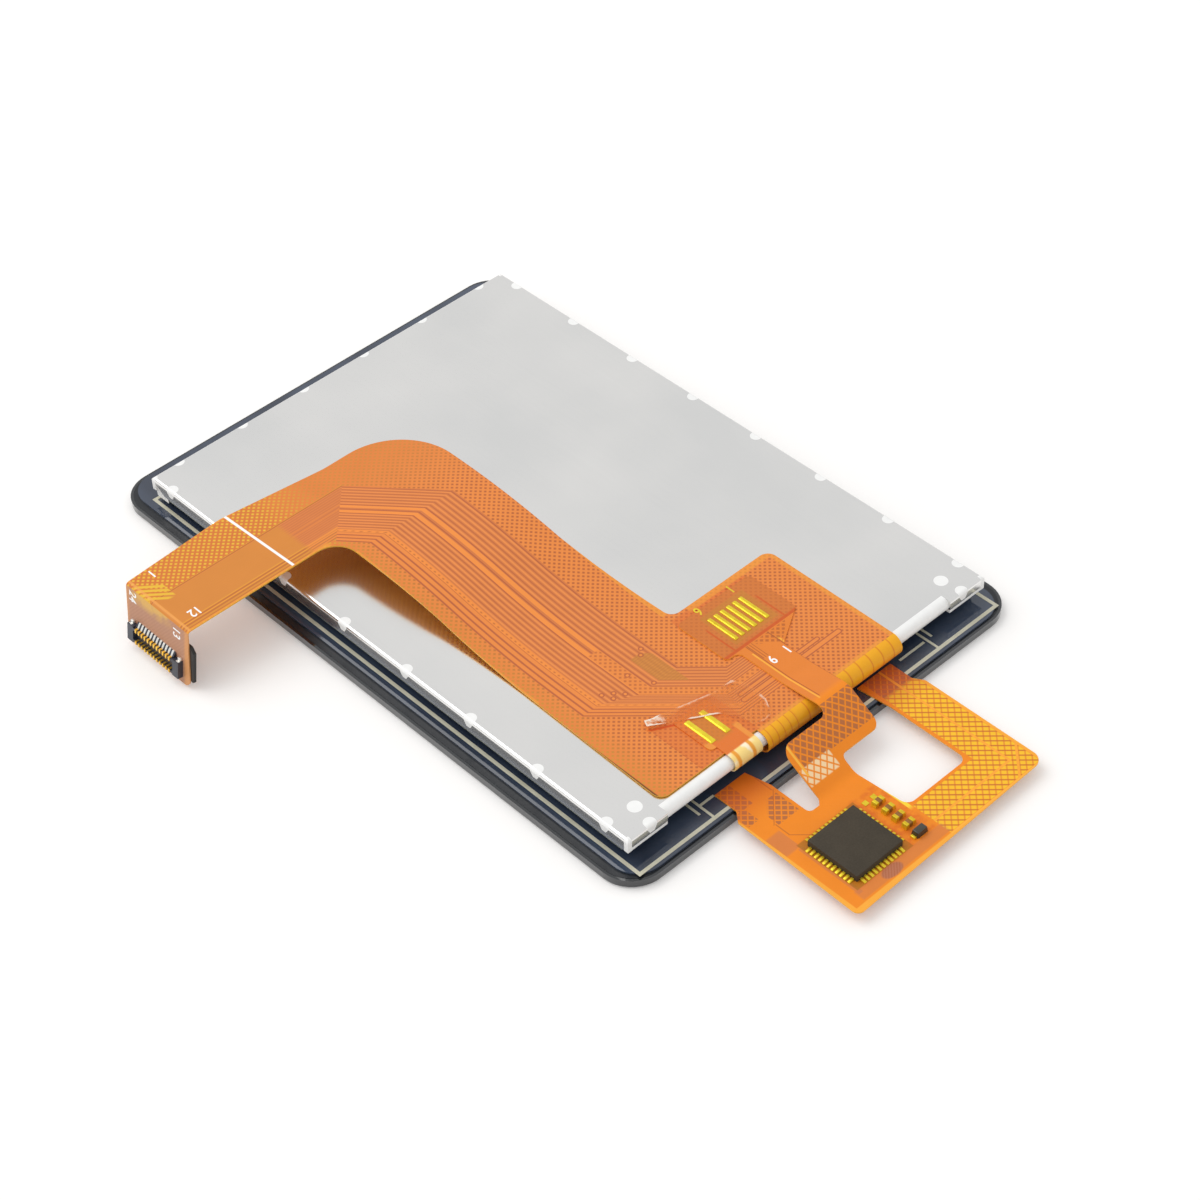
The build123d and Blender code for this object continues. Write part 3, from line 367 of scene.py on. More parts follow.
@dataclass(frozen=True)
class PlainFinish:
    """Finish of one even substance with a fine grain.

    The colours are the ground and what the grain turns it to, and lengths are in millimetres.
    """

    name: str
    colour: Colour
    second: Colour
    roughness: float = 0.5
    metallic: float = 0.0
    coat: float = 0.0
    transmission: float = 0.0
    specular: float = 0.5
    grain_per_mm: float = 4.0
    grain_depth: float = 0.004
    patch_ratio: float = 12.0
    patch_mix: float = 0.6
    patch_soft: float = 0.5
    roughness_sway: float = 0.3

    def make(self) -> Material:
        """Builds the material.

        Returns:
            Material whose colour, roughness and relief follow the same grain.
        """
        tree = PaintTree(self.name)
        grain = tree.noise(self.grain_per_mm, 3.0)
        patches = tree.noise(self.grain_per_mm / self.patch_ratio, 1.0)
        mixed = grain * self.patch_mix + patches * self.patch_mix
        mask = mixed.above(self.patch_mix, self.patch_soft)
        tree.colour(tree.over(tree.flat(self.colour), mask, self.second))
        least = self.roughness * (1.0 - self.roughness_sway / 2)
        tree.feed("Roughness", grain * (self.roughness * self.roughness_sway) + least)
        tree.hold(Metallic=self.metallic, Coat_Weight=self.coat, Transmission_Weight=self.transmission)
        tree.hold(Coat_Roughness=0.08, Specular_IOR_Level=self.specular)
        tree.relief(grain, self.grain_depth)
        return tree.material


@dataclass(frozen=True)
class PressedSteelFinish:
    """Bright rolled steel, nearly plain, with faint clouds along the rolling direction."""

    name: str = "bright_rolled_steel"
    colour: Colour = (241, 240, 238)
    dull: Colour = (231, 231, 230)
    roughness: float = 0.20
    rolled_per_mm: float = 3.0
    rolled_stretch: Point = (1.0, 0.05, 1.0)
    rolled_share: float = 0.08
    rolled_sway: float = 0.01
    clouds_per_mm: float = 0.09
    cloud_sway: float = 0.06
    relief_depth: float = 0.002

    def make(self) -> Material:
        """Builds the material.

        Returns:
            Material that mirrors a little unevenly.
        """
        tree = PaintTree(self.name)
        rolled = tree.noise(self.rolled_per_mm, 1.0, self.rolled_stretch)
        clouds = tree.noise(self.clouds_per_mm, 2.0)
        mixed = rolled * self.rolled_share + clouds * (1.0 - self.rolled_share)
        dull = mixed.above(0.5, 0.4)
        tree.colour(tree.over(tree.flat(self.colour), dull, self.dull))
        least = self.roughness - (self.rolled_sway + self.cloud_sway) / 2
        tree.feed("Roughness", rolled * self.rolled_sway + clouds * self.cloud_sway + least)
        tree.hold(Metallic=1.0)
        tree.relief(clouds, self.relief_depth)
        return tree.material


@dataclass(frozen=True)
class CircuitFinish:
    """What the amber circuits share: hatched copper, and the uneven film that covers it."""

    hatch_pitch: float = 0.395
    hole_share: float = 0.52
    uneven_per_mm: float = 0.5
    shade_sway: float = 0.08
    mean_shade: float = 0.99
    least_roughness: float = 0.34
    roughness_sway: float = 0.12
    specular: float = 0.22
    relief_depth: float = 0.008

    def cover(self, tree: PaintTree, copper: Field) -> Material:
        """Ends a painting with the film's uneven shade, gloss and relief.

        Args:
            tree: The material's nodes.
            copper: Relief of the copper under the film.

        Returns:
            The finished material.
        """
        uneven = tree.noise(self.uneven_per_mm, 3.0)
        least_shade = self.mean_shade - self.shade_sway / 2
        tree.colour(tree.shade(tree.ground, uneven * self.shade_sway + least_shade))
        tree.feed("Roughness", uneven * self.roughness_sway + self.least_roughness)
        tree.hold(Specular_IOR_Level=self.specular)
        tree.relief(copper + uneven, self.relief_depth)
        return tree.material


@dataclass(frozen=True)
class MainCircuitFinish(CircuitFinish):
    """Amber film over copper: bundles of traces between two bands of cross-hatched copper.

    The traces run along the strip, turn by about 41 degrees at bend_y and again at the tail's slanted
    turn line. On the bonded block they turn twice more and run to the touch circuit's neck. All
    places are in millimetres.
    """

    name: str = "main_circuit_film"
    mesh: Colour = (233, 138, 66)
    hole: Colour = (184, 102, 56)
    backlit_bend_hole: Colour = (214, 142, 60)
    wide: Colour = (240, 144, 66)
    bundle: Colour = (209, 121, 66)
    light_line: Colour = (234, 142, 74)
    dark_line: Colour = (184, 99, 60)
    amber: Colour = (214, 136, 58)
    tail_mesh: Colour = (213, 120, 54)
    yellow_hole: Colour = (232, 184, 58)
    yellow_line: Colour = (228, 166, 52)
    red_line: Colour = (190, 106, 52)
    rim: Colour = (240, 158, 60)
    wrap: Colour = (243, 172, 34)
    wrap_low: Colour = (254, 146, 50)
    wrap_line: Colour = (216, 120, 36)
    flap: Colour = (190, 140, 112)
    flap_line: Colour = (172, 120, 94)
    flap_glow: Colour = (238, 190, 84)
    crease: Colour = (240, 166, 84)
    olive: Colour = (200, 134, 58)
    film: Colour = (214, 104, 48)
    film_edge: Colour = (178, 84, 40)
    shadow: Colour = (208, 76, 26)
    print_white: Colour = (250, 250, 248)
    brown_edge: Colour = (92, 62, 30)
    cut_edge: Colour = (236, 180, 62)
    lit_through_underside: Colour = (252, 172, 70)
    lit_through_under_hole: Colour = (206, 98, 38)
    bend_y: float = 6.95
    bend_slope: float = 0.88
    bundle_left: float = -13.60
    bundle_right: float = -4.62
    turn_low: Span = (-14.9, 9.6)
    turn_high: Span = (-10.6, 14.1)
    tail_bundle_top: float = 14.05
    tail_squeeze: float = 1.89
    tail_lines: Span = (13.90, 15.05)
    clear_x: float = -17.55
    fold_x: float = -30.12
    flap_top: float = 5.42
    wrap_y: float = -28.78
    block_y: float = -14.0
    strip_end_y: float = -14.6
    left_traces: Span = (-11.5, -9.05)
    right_traces: Span = (-7.6, -4.9)
    outer_edge: float = -11.6
    dotted_x: float = -11.86
    pitted_y: float = -13.6
    line_lean: float = 0.035
    line_shift: float = 19.33
    block_turn: float = 19.4
    pinch_from: float = -28.3
    pinch_width: float = 1.6
    pinch: float = 0.875
    level_y: float = -22.05
    level_squeeze: float = 2.0
    neck_x: float = 1.6
    strip_left: float = -14.95
    strip_right: float = -1.60
    vias: tuple[Span, ...] = (
        (-8.10, -17.26), (-7.20, -19.30), (-11.0, -17.4), (-10.6, -18.3), (-10.2, -17.9),
        (-9.6, -18.6), (-5.8, -16.4), (-5.3, -15.9),
    )
    via_radius: float = 0.19
    fine_left: Lines = Lines(0.441, 0.36, -11.4, 0.2)
    fine_right: Lines = Lines(0.483, 0.34, -7.4, 0.2)
    dark_left: Lines = Lines(0.441, 0.18, -11.18, 0.14)
    dark_right: Lines = Lines(0.483, 0.18, -7.16, 0.14)
    outer_lines: Lines = Lines(0.50, 0.32, -13.50, 0.16)
    dots: Lines = Lines(0.5, 0.4, 0.0, 0.3)
    amber_lines: Lines = Lines(0.24, 0.4, 0.0, 0.4)
    upper_lines: Lines = Lines(0.34, 0.5, 14.1, 0.2)
    lower_lines: Lines = Lines(0.34, 0.55, 9.45, 0.25)
    olive_lines: Lines = Lines(0.24, 0.4, 0.0, 0.3)
    film_lines: Lines = Lines(0.42, 0.5, 0.0, 0.3)
    fold_lines: Lines = Lines(0.62, 0.58, -9.42, 0.2)
    flap_lines: Lines = Lines(0.33, 0.45, 0.0, 0.35)
    sparse_wrap: Lines = Lines(1.2, 0.10, 0.5, 0.05)
    dense_wrap: Lines = Lines(0.7, 0.14, 0.1, 0.08)
    upper_film: Patch = Patch((-1.55, 6.3), (-21.6, -15.4))
    lower_film: Patch = Patch((-11.0, -5.0), (-28.6, -22.8))

    def make(self) -> Material:
        """Builds the material.

        Returns:
            Material with the routing, the hatch, the fold and the wrap.
        """
        tree = PaintTree(self.name)
        x, y = tree.x, tree.y
        on_block = y.below(self.block_y, 0.02)
        tail = self._tail_mask(x, y)
        across = self._across(x, y, tail)
        hole = tree.holes(self.hatch_pitch, self.hole_share)
        self._bundle(tree, across, hole)
        hatched = across.above(self.bundle_right, 0.04).most(across.below(self.bundle_left, 0.04))
        hatched = hatched.most(y.above(self.tail_lines[1], 0.04) * x.below(-10.0, 0.1))
        hatched = hatched.most(on_block * x.above(self.neck_x, 0.05))
        clear = x.below(self.clear_x, 0.5)
        self._tail(tree, tail, clear)
        # Painted light let through the film: the holes lighten towards the raised bend and turn yellow
        # out on the tail, where the bars take the darker tail colour.
        bend = y.above(11.0, 7.0) * 0.75
        hole_colour = tree.over(tree.flat(self.hole), bend, self.backlit_bend_hole)
        backlit_tail = x.below(-15.5, 5.0)
        hole_colour = tree.over(hole_colour, backlit_tail, self.yellow_hole)
        bars = tree.over(tree.flat(self.mesh), backlit_tail.most(bend * 0.7), self.tail_mesh)
        copper = tree.over(bars, hole, hole_colour)
        tree.paint(hatched, copper)
        self._block_marks(tree)
        self._rims(tree)
        self._fold(tree)
        self._wrap(tree)
        cut = tree.facing.size().below(0.45, 0.1) * y.above(-28.6, 0.05) * x.above(-29.8, 0.1)
        tree.paint(cut * 0.8, self.cut_edge)
        # Faces that look down are painted bright orange with darker holes: painted light let through
        # the film, which the steel mirrors under the raised strip.
        below = tree.facing.below(-0.5, 0.2)
        tree.paint(below, tree.over(tree.flat(self.lit_through_underside), hole, self.lit_through_under_hole))
        return self.cover(tree, hole * hatched * -0.5)

    def _tail_mask(self, x: Field, y: Field) -> Field:
        """Mask of the region beyond the slanted turn line, where the traces run along x.

        Args:
            x: Place across the object.
            y: Place along the object.

        Returns:
            Mask from 0 to 1.
        """
        low, high = self.turn_low, self.turn_high
        rise = high[1] - low[1]
        run = high[0] - low[0]
        side = (y - low[1]) * run - (x - low[0]) * rise
        return side.above(0.0, 0.1) * y.above(self.bend_y, 0.05)

    def _across(self, x: Field, y: Field, tail: Field) -> Field:
        """Place across the traces, which stays the same along each of them.

        Args:
            x: Place across the object.
            y: Place along the object.
            tail: Mask of the tail.

        Returns:
            The x that the trace under this point has on the strip.
        """
        slanted = x + (y - self.bend_y).most(0.0) * self.bend_slope
        squeezed = (y - self.tail_bundle_top) * self.tail_squeeze + self.bundle_right
        upper = slanted * tail.rest() + squeezed * tail
        diagonal = x + y
        pinched = (diagonal * -1.0 + self.pinch_from).most(0.0).least(self.pinch_width)
        on_slant = diagonal - pinched * self.pinch + self.block_turn
        level = (y - self.level_y) * self.level_squeeze + self.bundle_right
        return upper.least(on_slant).least(level)

    def _bundle(self, tree: PaintTree, across: Field, hole: Field) -> None:
        """Paints the traces by their place across the bundle.

        Args:
            tree: The material's nodes.
            across: Place across the traces.
            hole: Mask of the mesh's holes.
        """
        y = tree.y
        tree.lay(self.bundle)
        left = across.between(*self.left_traces)
        right = across.between(*self.right_traces)
        fine_left = across.comb(self.fine_left) * left
        fine_right = across.comb(self.fine_right) * right
        tree.paint(fine_left.most(fine_right), self.light_line)
        dark_left = across.comb(self.dark_left) * left
        dark_right = across.comb(self.dark_right) * right
        tree.paint(dark_left.most(dark_right) * 0.8, self.dark_line)
        outer = across.between(self.bundle_left, self.outer_edge)
        tree.paint(outer, self.mesh)
        tree.paint(across.comb(self.outer_lines) * outer, self.dark_line)
        dots = across.near(self.dotted_x, 0.14, 0.08) * y.comb(self.dots)
        tree.paint(across.near(self.dotted_x, 0.34), self.wide)
        tree.paint(dots * 0.8, self.hole)
        pair = across.near(-8.72, 0.42).most(across.near(-7.92, 0.38))
        tree.paint(pair, self.wide)
        pitted = across.near(-8.30, 1.05, 0.1) * y.below(self.pitted_y, 0.2)
        tree.paint(pitted, self.mesh)
        tree.paint(pitted * hole * 0.8, self.hole)
        lines = across.near(-8.98, 0.10).most(across.near(-7.62, 0.10))
        lines = lines.most(across.near(-8.36, 0.12) * y.above(self.pitted_y, 0.2))
        lines = lines.most(across.near(-4.80, 0.10)).most(across.near(-4.55, 0.08))
        tree.paint(lines, self.dark_line)

    def _tail(self, tree: PaintTree, tail: Field, clear: Field) -> None:
        """Paints the tail: smooth amber, with bright lines above and reddish ones below.

        Args:
            tree: The material's nodes.
            tail: Mask of the tail.
            clear: Mask of its far part, where the film is clear over bare copper.
        """
        y = tree.y
        fine = y.comb(self.amber_lines) * 0.20
        amber = tree.over(tree.flat(self.amber), fine, self.bundle)
        plain = tail * y.between(10.3, self.tail_lines[0], 0.2)
        tree.paint(plain * 0.7, self.bundle)
        tree.paint(clear * plain, amber)
        above = y.between(self.tail_lines[0], self.tail_lines[1]) * tail
        tree.paint(above, self.red_line)
        tree.paint(above * y.comb(self.upper_lines), self.yellow_line)
        below = y.below(10.35, 0.05) * tail * (clear * 0.8 + 0.2)
        tree.paint(below * 0.55, self.yellow_line)
        tree.paint(below * y.comb(self.lower_lines) * 0.9, self.red_line)

    def _block_marks(self, tree: PaintTree) -> None:
        """Paints the block: vias, striped patch, round-ended tracks, and the glued films.

        Args:
            tree: The material's nodes.
        """
        x, y = tree.x, tree.y
        diagonal = x + y
        patch = x.between(-6.75, -5.05) * diagonal.between(-26.1, -21.9, 0.1) * y.below(-16.2, 0.1)
        tree.paint(patch * 0.75, self.olive)
        tree.paint(patch * y.comb(self.olive_lines) * 0.35, self.dark_line)
        for place in self.vias:
            tree.paint(self._ring(x, y, place, self.via_radius), self.dark_line)
            tree.paint(self._ring(x, y, place, 0.0, 0.20), self.wide)
        low = self._track(x, y, (-3.6, 7.0), -25.55, 0.20)
        high = self._track(x, y, (-3.4, 5.2), -24.95, 0.15)
        rings = low.between(-0.02, 0.09).most(high.between(-0.02, 0.09))
        tree.paint(low.below(0.0).most(high.below(0.0)), self.mesh)
        tree.paint(rings, self.dark_line)
        first = tree.patch(self.upper_film)
        second = tree.patch(self.lower_film)
        tree.paint(first.most(second) * 0.42, self.film)
        along = (x + y).comb(self.film_lines)
        edge = x.near(-1.55, 0.10) * y.between(-21.6, -15.9)
        edge = edge.most(x.near(-11.0, 0.10) * y.between(-28.4, -23.1))
        tree.paint(edge * along * 0.7, self.film_edge)
        slope = (x + 11.0) * 0.532 + y + 22.72
        under = slope.near(0.0, 0.24, 0.14) * x.between(-11.1, -7.9, 0.3)
        tree.paint(under * 0.85, self.shadow)

    @staticmethod
    def _ring(x: Field, y: Field, place: Span, radius: float, width: float = 0.10) -> Field:
        """Mask of a ring round a place, or of a dot where its radius is nothing."""
        off_x, off_y = x - place[0], y - place[1]
        return (off_x * off_x + off_y * off_y).root().near(radius, width, 0.05)

    @staticmethod
    def _track(x: Field, y: Field, ends: Span, level: float, half: float) -> Field:
        """Distance outside a round-ended track, negative inside it.

        Args:
            x: Place across the object.
            y: Place along the object.
            ends: The x of the track's two ends.
            level: The y of its middle.
            half: Half its width.

        Returns:
            Distance from its edge.
        """
        middle, reach = sum(ends) / 2, (ends[1] - ends[0]) / 2
        past = ((x - middle).size() - reach).most(0.0)
        off = y - level
        return (past * past + off * off).root() - half

    def _rims(self, tree: PaintTree) -> None:
        """Paints the clear rim of the film, the printed line and the dark lower-left edge.

        Args:
            tree: The material's nodes.
        """
        x, y = tree.x, tree.y
        on_strip = y.between(self.strip_end_y, self.bend_y, 0.1)
        sides = x.below(self.strip_left + 0.05, 0.06).most(x.above(self.strip_right - 0.05, 0.06))
        rims = sides * on_strip
        rims = rims.most(x.above(9.42, 0.06) * y.below(self.strip_end_y, 0.1))
        rims = rims.most(y.above(-15.72, 0.06) * y.below(-15.0, 0.2) * x.above(0.4, 0.2))
        rims = rims.most(y.below(-28.45, 0.06) * x.between(-8.0, 8.6, 0.1))
        tree.paint(rims * 0.6, self.rim)
        tail = x.below(-16.0, 0.4)
        edges = y.above(17.75, 0.1).most(y.below(9.42, 0.06))
        tree.paint(edges * tail * 0.7, self.rim)
        off_line = (x + y * self.line_lean + self.line_shift).size()
        tree.paint(off_line.below(0.12, 0.04) * y.between(9.3, 17.9), self.print_white)
        # Darkens the strip's left edge towards the block.
        dark_left_edge = x.below(-15.22, 0.08) * y.below(-9.0, 4.0)
        tree.paint(dark_left_edge * 0.85, self.brown_edge)

    def _fold(self, tree: PaintTree) -> None:
        """Paints the bright traces that turn at the fold, the crease and the flap.

        Args:
            tree: The material's nodes.
        """
        x, y, z = tree.x, tree.y, tree.z
        on_flap = x.below(self.fold_x + 0.02, 0.02) * z.below(self.flap_top, 0.06)
        slanted = y + x * 0.85
        stripes = slanted.comb(self.fold_lines) * slanted.between(-11.5, -9.1)
        stripes = stripes * x.below(-28.45, 0.1) * z.above(5.40, 0.05)
        tree.paint(stripes * y.between(13.3, 16.4, 0.2), self.yellow_hole)
        flap = tree.flat(self.flap)
        fine = (y + z * 0.9).comb(self.flap_lines)
        flap = tree.over(flap, fine * 0.30, self.flap_line)
        blots = tree.noise(0.9, 1.0).above(0.48, 0.2)
        glow = z.above(4.55, 0.7) * y.between(11.6, 16.6, 0.8)
        flap = tree.over(flap, glow * (blots * 0.5 + 0.15), self.flap_glow)
        side = y.above(17.0, 0.5).most(y.below(9.6, 0.3))
        flap = tree.over(flap, side * 0.5, self.crease)
        tree.paint(on_flap, flap)
        crease = (x - (self.fold_x - 0.02)).size().below(0.10, 0.08) * z.above(5.3, 0.05)
        tree.paint(crease * 0.7, self.crease)

    def _wrap(self, tree: PaintTree) -> None:
        """Paints the part that wraps round the bar, where only a few traces pass.

        Args:
            tree: The material's nodes.
        """
        x = tree.x
        on_wrap = tree.y.below(self.wrap_y, 0.03)
        dense = x.below(-1.8, 0.3)
        sparse = x.comb(self.sparse_wrap) * dense.rest()
        lines = sparse + x.comb(self.dense_wrap) * dense
        wrapped = tree.over(tree.flat(self.wrap), tree.z.below(2.2, 1.0), self.wrap_low)
        wrapped = tree.over(wrapped, lines * 0.75, self.wrap_line)
        tree.paint(on_wrap, wrapped)


@dataclass(frozen=True)
class LightTongueFinish:
    """Light circuit's tongue: orange over the block and clear amber with glints round the bar."""

    name: str = "light_circuit_film"
    land: Colour = (224, 118, 46)
    hole: Colour = (172, 84, 44)
    olive: Colour = (198, 128, 48)
    rim: Colour = (245, 170, 72)
    hatch_pitch: float = 0.395
    hole_share: float = 0.52
    bar: Colour = (253, 220, 136)
    glint: Colour = (255, 246, 222)
    trace: Colour = (238, 160, 56)
    edge_y: float = -28.75
    bar_lines: Lines = Lines(1.55, 0.22, -8.2, 0.08)
    strip_gap: Patch = Patch((-8.3, -6.6), (-27.3, -24.2), 0.1, 0.3)

    def make(self) -> Material:
        """Builds the material.

        Returns:
            Material of the land and of the clear part round the bar.
        """
        tree = PaintTree(self.name)
        on_bar = tree.y.below(self.edge_y, 0.15)
        glints = tree.noise(1.1, 2.0, (1.0, 0.5, 1.0)).above(0.55, 0.15)
        clear = tree.over(tree.flat(self.bar), glints * 0.8, self.glint)
        clear = tree.over(clear, tree.x.comb(self.bar_lines), self.trace)
        holes = tree.holes(self.hatch_pitch, self.hole_share)
        land = tree.over(tree.flat(self.land), holes * tree.y.above(-27.2, 0.3) * 0.4, self.hole)
        between = tree.patch(self.strip_gap)
        land = tree.over(land, between * 0.6, self.olive)
        rim = tree.x.below(-8.72, 0.08).most(tree.x.above(-6.22, 0.08)) * tree.y.below(-26.8, 0.3)
        land = tree.over(land, rim * 0.5, self.rim)
        tree.colour(tree.over(land, on_bar, clear))
        tree.feed("Roughness", glints * -0.1 + 0.3)
        tree.hold(Specular_IOR_Level=0.3)
        tree.relief(glints, 0.01)
        return tree.material


@dataclass(frozen=True)
class TouchCircuitFinish(CircuitFinish):
    """Amber film with an open copper mesh, plain bands along its edges and darker glued patches.

    The bands follow the plate's edges and the large window's, whose x and y are in outer and window.
    """

    name: str = "touch_circuit_film"
    plain: Colour = (241, 138, 32)
    bar: Colour = (230, 142, 46)
    red_bar: Colour = (205, 112, 46)
    cell: Colour = (248, 192, 42)
    dull_cell: Colour = (164, 100, 66)
    band: Colour = (250, 168, 54)
    edge: Colour = (253, 184, 68)
    window_highlight: Colour = (250, 214, 60)
    cream: Colour = (248, 216, 168)
    brown: Colour = (196, 118, 78)
    oval: Colour = (172, 112, 92)
    solder_bed: Colour = (160, 108, 26)
    neck: Colour = (229, 131, 52)
    shadow: Colour = (190, 76, 26)
    deep_and_shadow: Colour = (206, 84, 32)
    paddle: Colour = (210, 120, 56)
    olive: Colour = (196, 132, 52)
    block_hole: Colour = (172, 92, 48)
    dark_line: Colour = (168, 88, 44)
    uneven_per_mm: float = 0.6
    shade_sway: float = 0.10
    open_pitch: float = 0.505
    falling_share: float = 0.26
    rising_share: float = 0.22
    open_soft: float = 0.14
    mesh_left: float = -0.95
    band_inset: float = 1.92
    corner_reach: float = 36.24
    glass_edge_y: float = -31.65
    outer: Span = (9.62, -44.62)
    window: Span = (5.55, -40.30)
    chip_middle: Span = (-6.92, -40.20)
    window_edge_highlight: Patch = Patch((-1.35, -1.02), (-40.6, -36.8), 0.06, 0.5)
    upper_mesh: Patch = Patch((-10.6, -9.2), (-31.9, -29.2))
    lower_mesh: Patch = Patch((-9.4, -7.2), (-34.8, -32.4))
    outer_mesh: Patch = Patch((-11.2, -10.1), (-33.4, -31.9))
    glued: Patch = Patch((-11.25, -9.8), (-37.4, -35.2), 0.05, 0.2)
    seat: Patch = Patch((-10.3, -0.8), (-44.2, -43.2), 0.2, 0.15)
    chip_field: Patch = Patch((-9.9, -3.6), (-43.3, -37.1), 0.3, 0.3)
    parts_field: Patch = Patch((-4.2, -1.3), (-43.2, -37.0), 0.3, 0.3)
    oval_lines: Lines = Lines(0.3, 0.4, 0.0, 0.3)
    jog: Patch = Patch((-4.7, 3.6), (-33.1, -30.3))
    cream_patch: Patch = Patch((-5.3, -2.1), (-34.3, -33.0), 0.1, 0.1)
    wedge_falling: Lines = Lines(0.62, 0.40, 0.0, 0.16)
    wedge_rising: Lines = Lines(0.62, 0.40, 0.1, 0.16)
    strip_gaps: Patch = Patch((0.15, 4.95), (-21.0, -16.9), 0.1, 0.2)

    def make(self) -> Material:
        """Builds the material.

        Returns:
            Material with the mesh, its bands and the plain field round the chip.
        """
        tree = PaintTree(self.name)
        x, y = tree.x, tree.y
        on_neck = tree.z.above(1.16, 0.04)
        step = self.open_pitch * ROOT_TWO
        falling = (x + y).comb(Lines(step, self.falling_share, 0.0, self.open_soft))
        rising = (x - y).comb(Lines(step, self.rising_share, 0.0, self.open_soft))
        bars = falling.most(rising)
        over_glass = y.above(self.glass_edge_y, 0.4)
        cell = tree.over(tree.flat(self.cell), over_glass, self.dull_cell)
        mesh = tree.over(cell, rising, self.bar)
        mesh = tree.over(mesh, falling, self.red_bar)
        tree.lay(self.plain)
        from_edge = ((x * -1.0) + self.outer[0]).least(y - self.outer[1])
        meshed = x.above(self.mesh_left, 0.05) * from_edge.above(0.30)
        from_window = (x - self.window[0]).most((y * -1.0) + self.window[1])
        meshed = meshed * from_window.above(0.28)
        tree.paint(meshed, mesh)
        middle = from_edge.near(self.band_inset, 0.22)
        corner = ((x - y) * (1 / ROOT_TWO)).near(self.corner_reach, 0.20)
        corner = corner * from_edge.below(self.band_inset, 0.1)
        rimmed = x.above(self.mesh_left, 0.05) * middle.most(from_edge.near(0.2, 0.16)).most(corner)
        tree.paint(rimmed, self.band)
        outline = y.below(-44.38, 0.08).most(x.below(-11.28, 0.06)).most(x.above(9.50, 0.06))
        tree.paint(outline * 0.7, self.edge)
        self._left_side(tree, bars)
        self._neck(tree, on_neck, bars)
        near_glass = y.above(-32.2, 2.6) * on_neck.rest()
        tree.paint(near_glass * 0.55, self.shadow)
        # Painted highlight along the large window's left edge, where the film curves up.
        cut = tree.patch(self.window_edge_highlight)
        tree.paint(cut, self.window_highlight)
        sides = tree.facing.size().below(0.45, 0.1)
        tree.paint(sides * 0.6, self.edge)
        return self.cover(tree, bars * 0.5)

    def _left_side(self, tree: PaintTree, bars: Field) -> None:
        """Paints the left leg's mesh patches, the glued films and the field round the chip.

        Args:
            tree: The material's nodes.
            bars: Mask of the open mesh's bars.
        """
        x, y = tree.x, tree.y
        cells = bars.rest()
        upper = tree.patch(self.upper_mesh)
        lower = tree.patch(self.lower_mesh) * (x - y).above(24.2, 0.1)
        outer = tree.patch(self.outer_mesh)
        patch = upper.most(lower).most(outer)
        tree.paint(patch * cells * 0.8, self.dull_cell)
        run = (x + y).near(-45.6, 0.12, 0.06) * y.between(-37.3, -36.0)
        run = run.most(x.near(-9.55, 0.10, 0.05) * y.between(-36.0, -34.6))
        run = run.most((x - y).near(24.9, 0.10, 0.05) * y.between(-34.6, -32.0))
        run = run.most(x.near(-7.25, 0.10, 0.05) * y.between(-32.0, -30.2))
        tree.paint(run * 0.6, self.dark_line)
        glued = tree.patch(self.glued)
        tree.paint(glued * 0.55, self.brown)
        seat = tree.patch(self.seat)
        tree.paint(seat * 0.45, self.brown)
        off_x, off_y = (x + 6.75) * 0.55, y + 43.75
        oval = (off_x * off_x + off_y * off_y).root().below(0.55, 0.12)
        tree.paint(oval * 0.75, self.oval)
        tree.paint(oval * (y - x).comb(self.oval_lines) * 0.5, self.dark_line)
        beside = (x + 9.95).size().below(0.22, 0.1) * y.between(-43.6, -37.5, 0.1)
        tree.paint(beside * 0.5, self.brown)
        glow = tree.patch(self.chip_field)
        tree.paint(glow * 0.25, self.deep_and_shadow)
        beyond = (x - self.chip_middle[0]).size().most((y - self.chip_middle[1]).size())
        tree.paint(beyond.between(2.4, 3.05, 0.08) * 0.7, self.solder_bed)
        back = tree.patch(self.parts_field)
        tree.paint(back * tree.noise(1.4, 2.0).above(0.5, 0.2) * 0.45, self.deep_and_shadow)

    def _neck(self, tree: PaintTree, on_neck: Field, bars: Field) -> None:
        """Paints the climbing neck, its jog and the paddle on the main circuit.

        Args:
            tree: The material's nodes.
            on_neck: Mask of the neck and the paddle.
            bars: Mask of the open mesh's bars.
        """
        x, y = tree.x, tree.y
        neck = tree.over(tree.flat(self.neck), y.below(-29.6, 0.5), self.plain)
        jog = tree.patch(self.jog)
        cells = bars.rest()
        neck = tree.over(neck, jog * cells * 0.8, self.dull_cell)
        cream = tree.patch(self.cream_patch)
        neck = tree.over(neck, cream * cells, self.cream)
        rims = x.near(-4.9, 0.2).most(x.near(3.9, 0.25)) * y.between(-33.6, -29.8)
        neck = tree.over(neck, rims, self.edge)
        lines = x.near(0.62, 0.09).most(x.near(0.86, 0.07)).most(x.near(1.10, 0.06))
        lines = lines * y.above(-23.6, 0.1)
        lines = lines.most(x.near(0.50, 0.08).most(x.near(2.92, 0.09)))
        bright = x.near(0.33, 0.14).most(x.near(3.10, 0.16)) * y.between(-29.8, -22.6, 0.1)
        neck = tree.over(neck, bright * 0.8, self.edge)
        neck = tree.over(neck, lines * y.between(-29.6, -21.7, 0.1) * 0.85, self.dark_line)
        wedge = (x - 3.0).size() * -1.0 + (y + 23.3) * 1.35
        fine = (x + y).comb(self.wedge_falling).most((x - y).comb(self.wedge_rising))
        mesh = wedge.above(0.0, 0.1) * x.above(1.35, 0.1) * y.below(-21.75, 0.05)
        neck = tree.over(neck, mesh * fine.rest() * 0.7, self.dark_line)
        paddle = y.above(-21.65, 0.05)
        holes = tree.holes(self.hatch_pitch, self.hole_share)
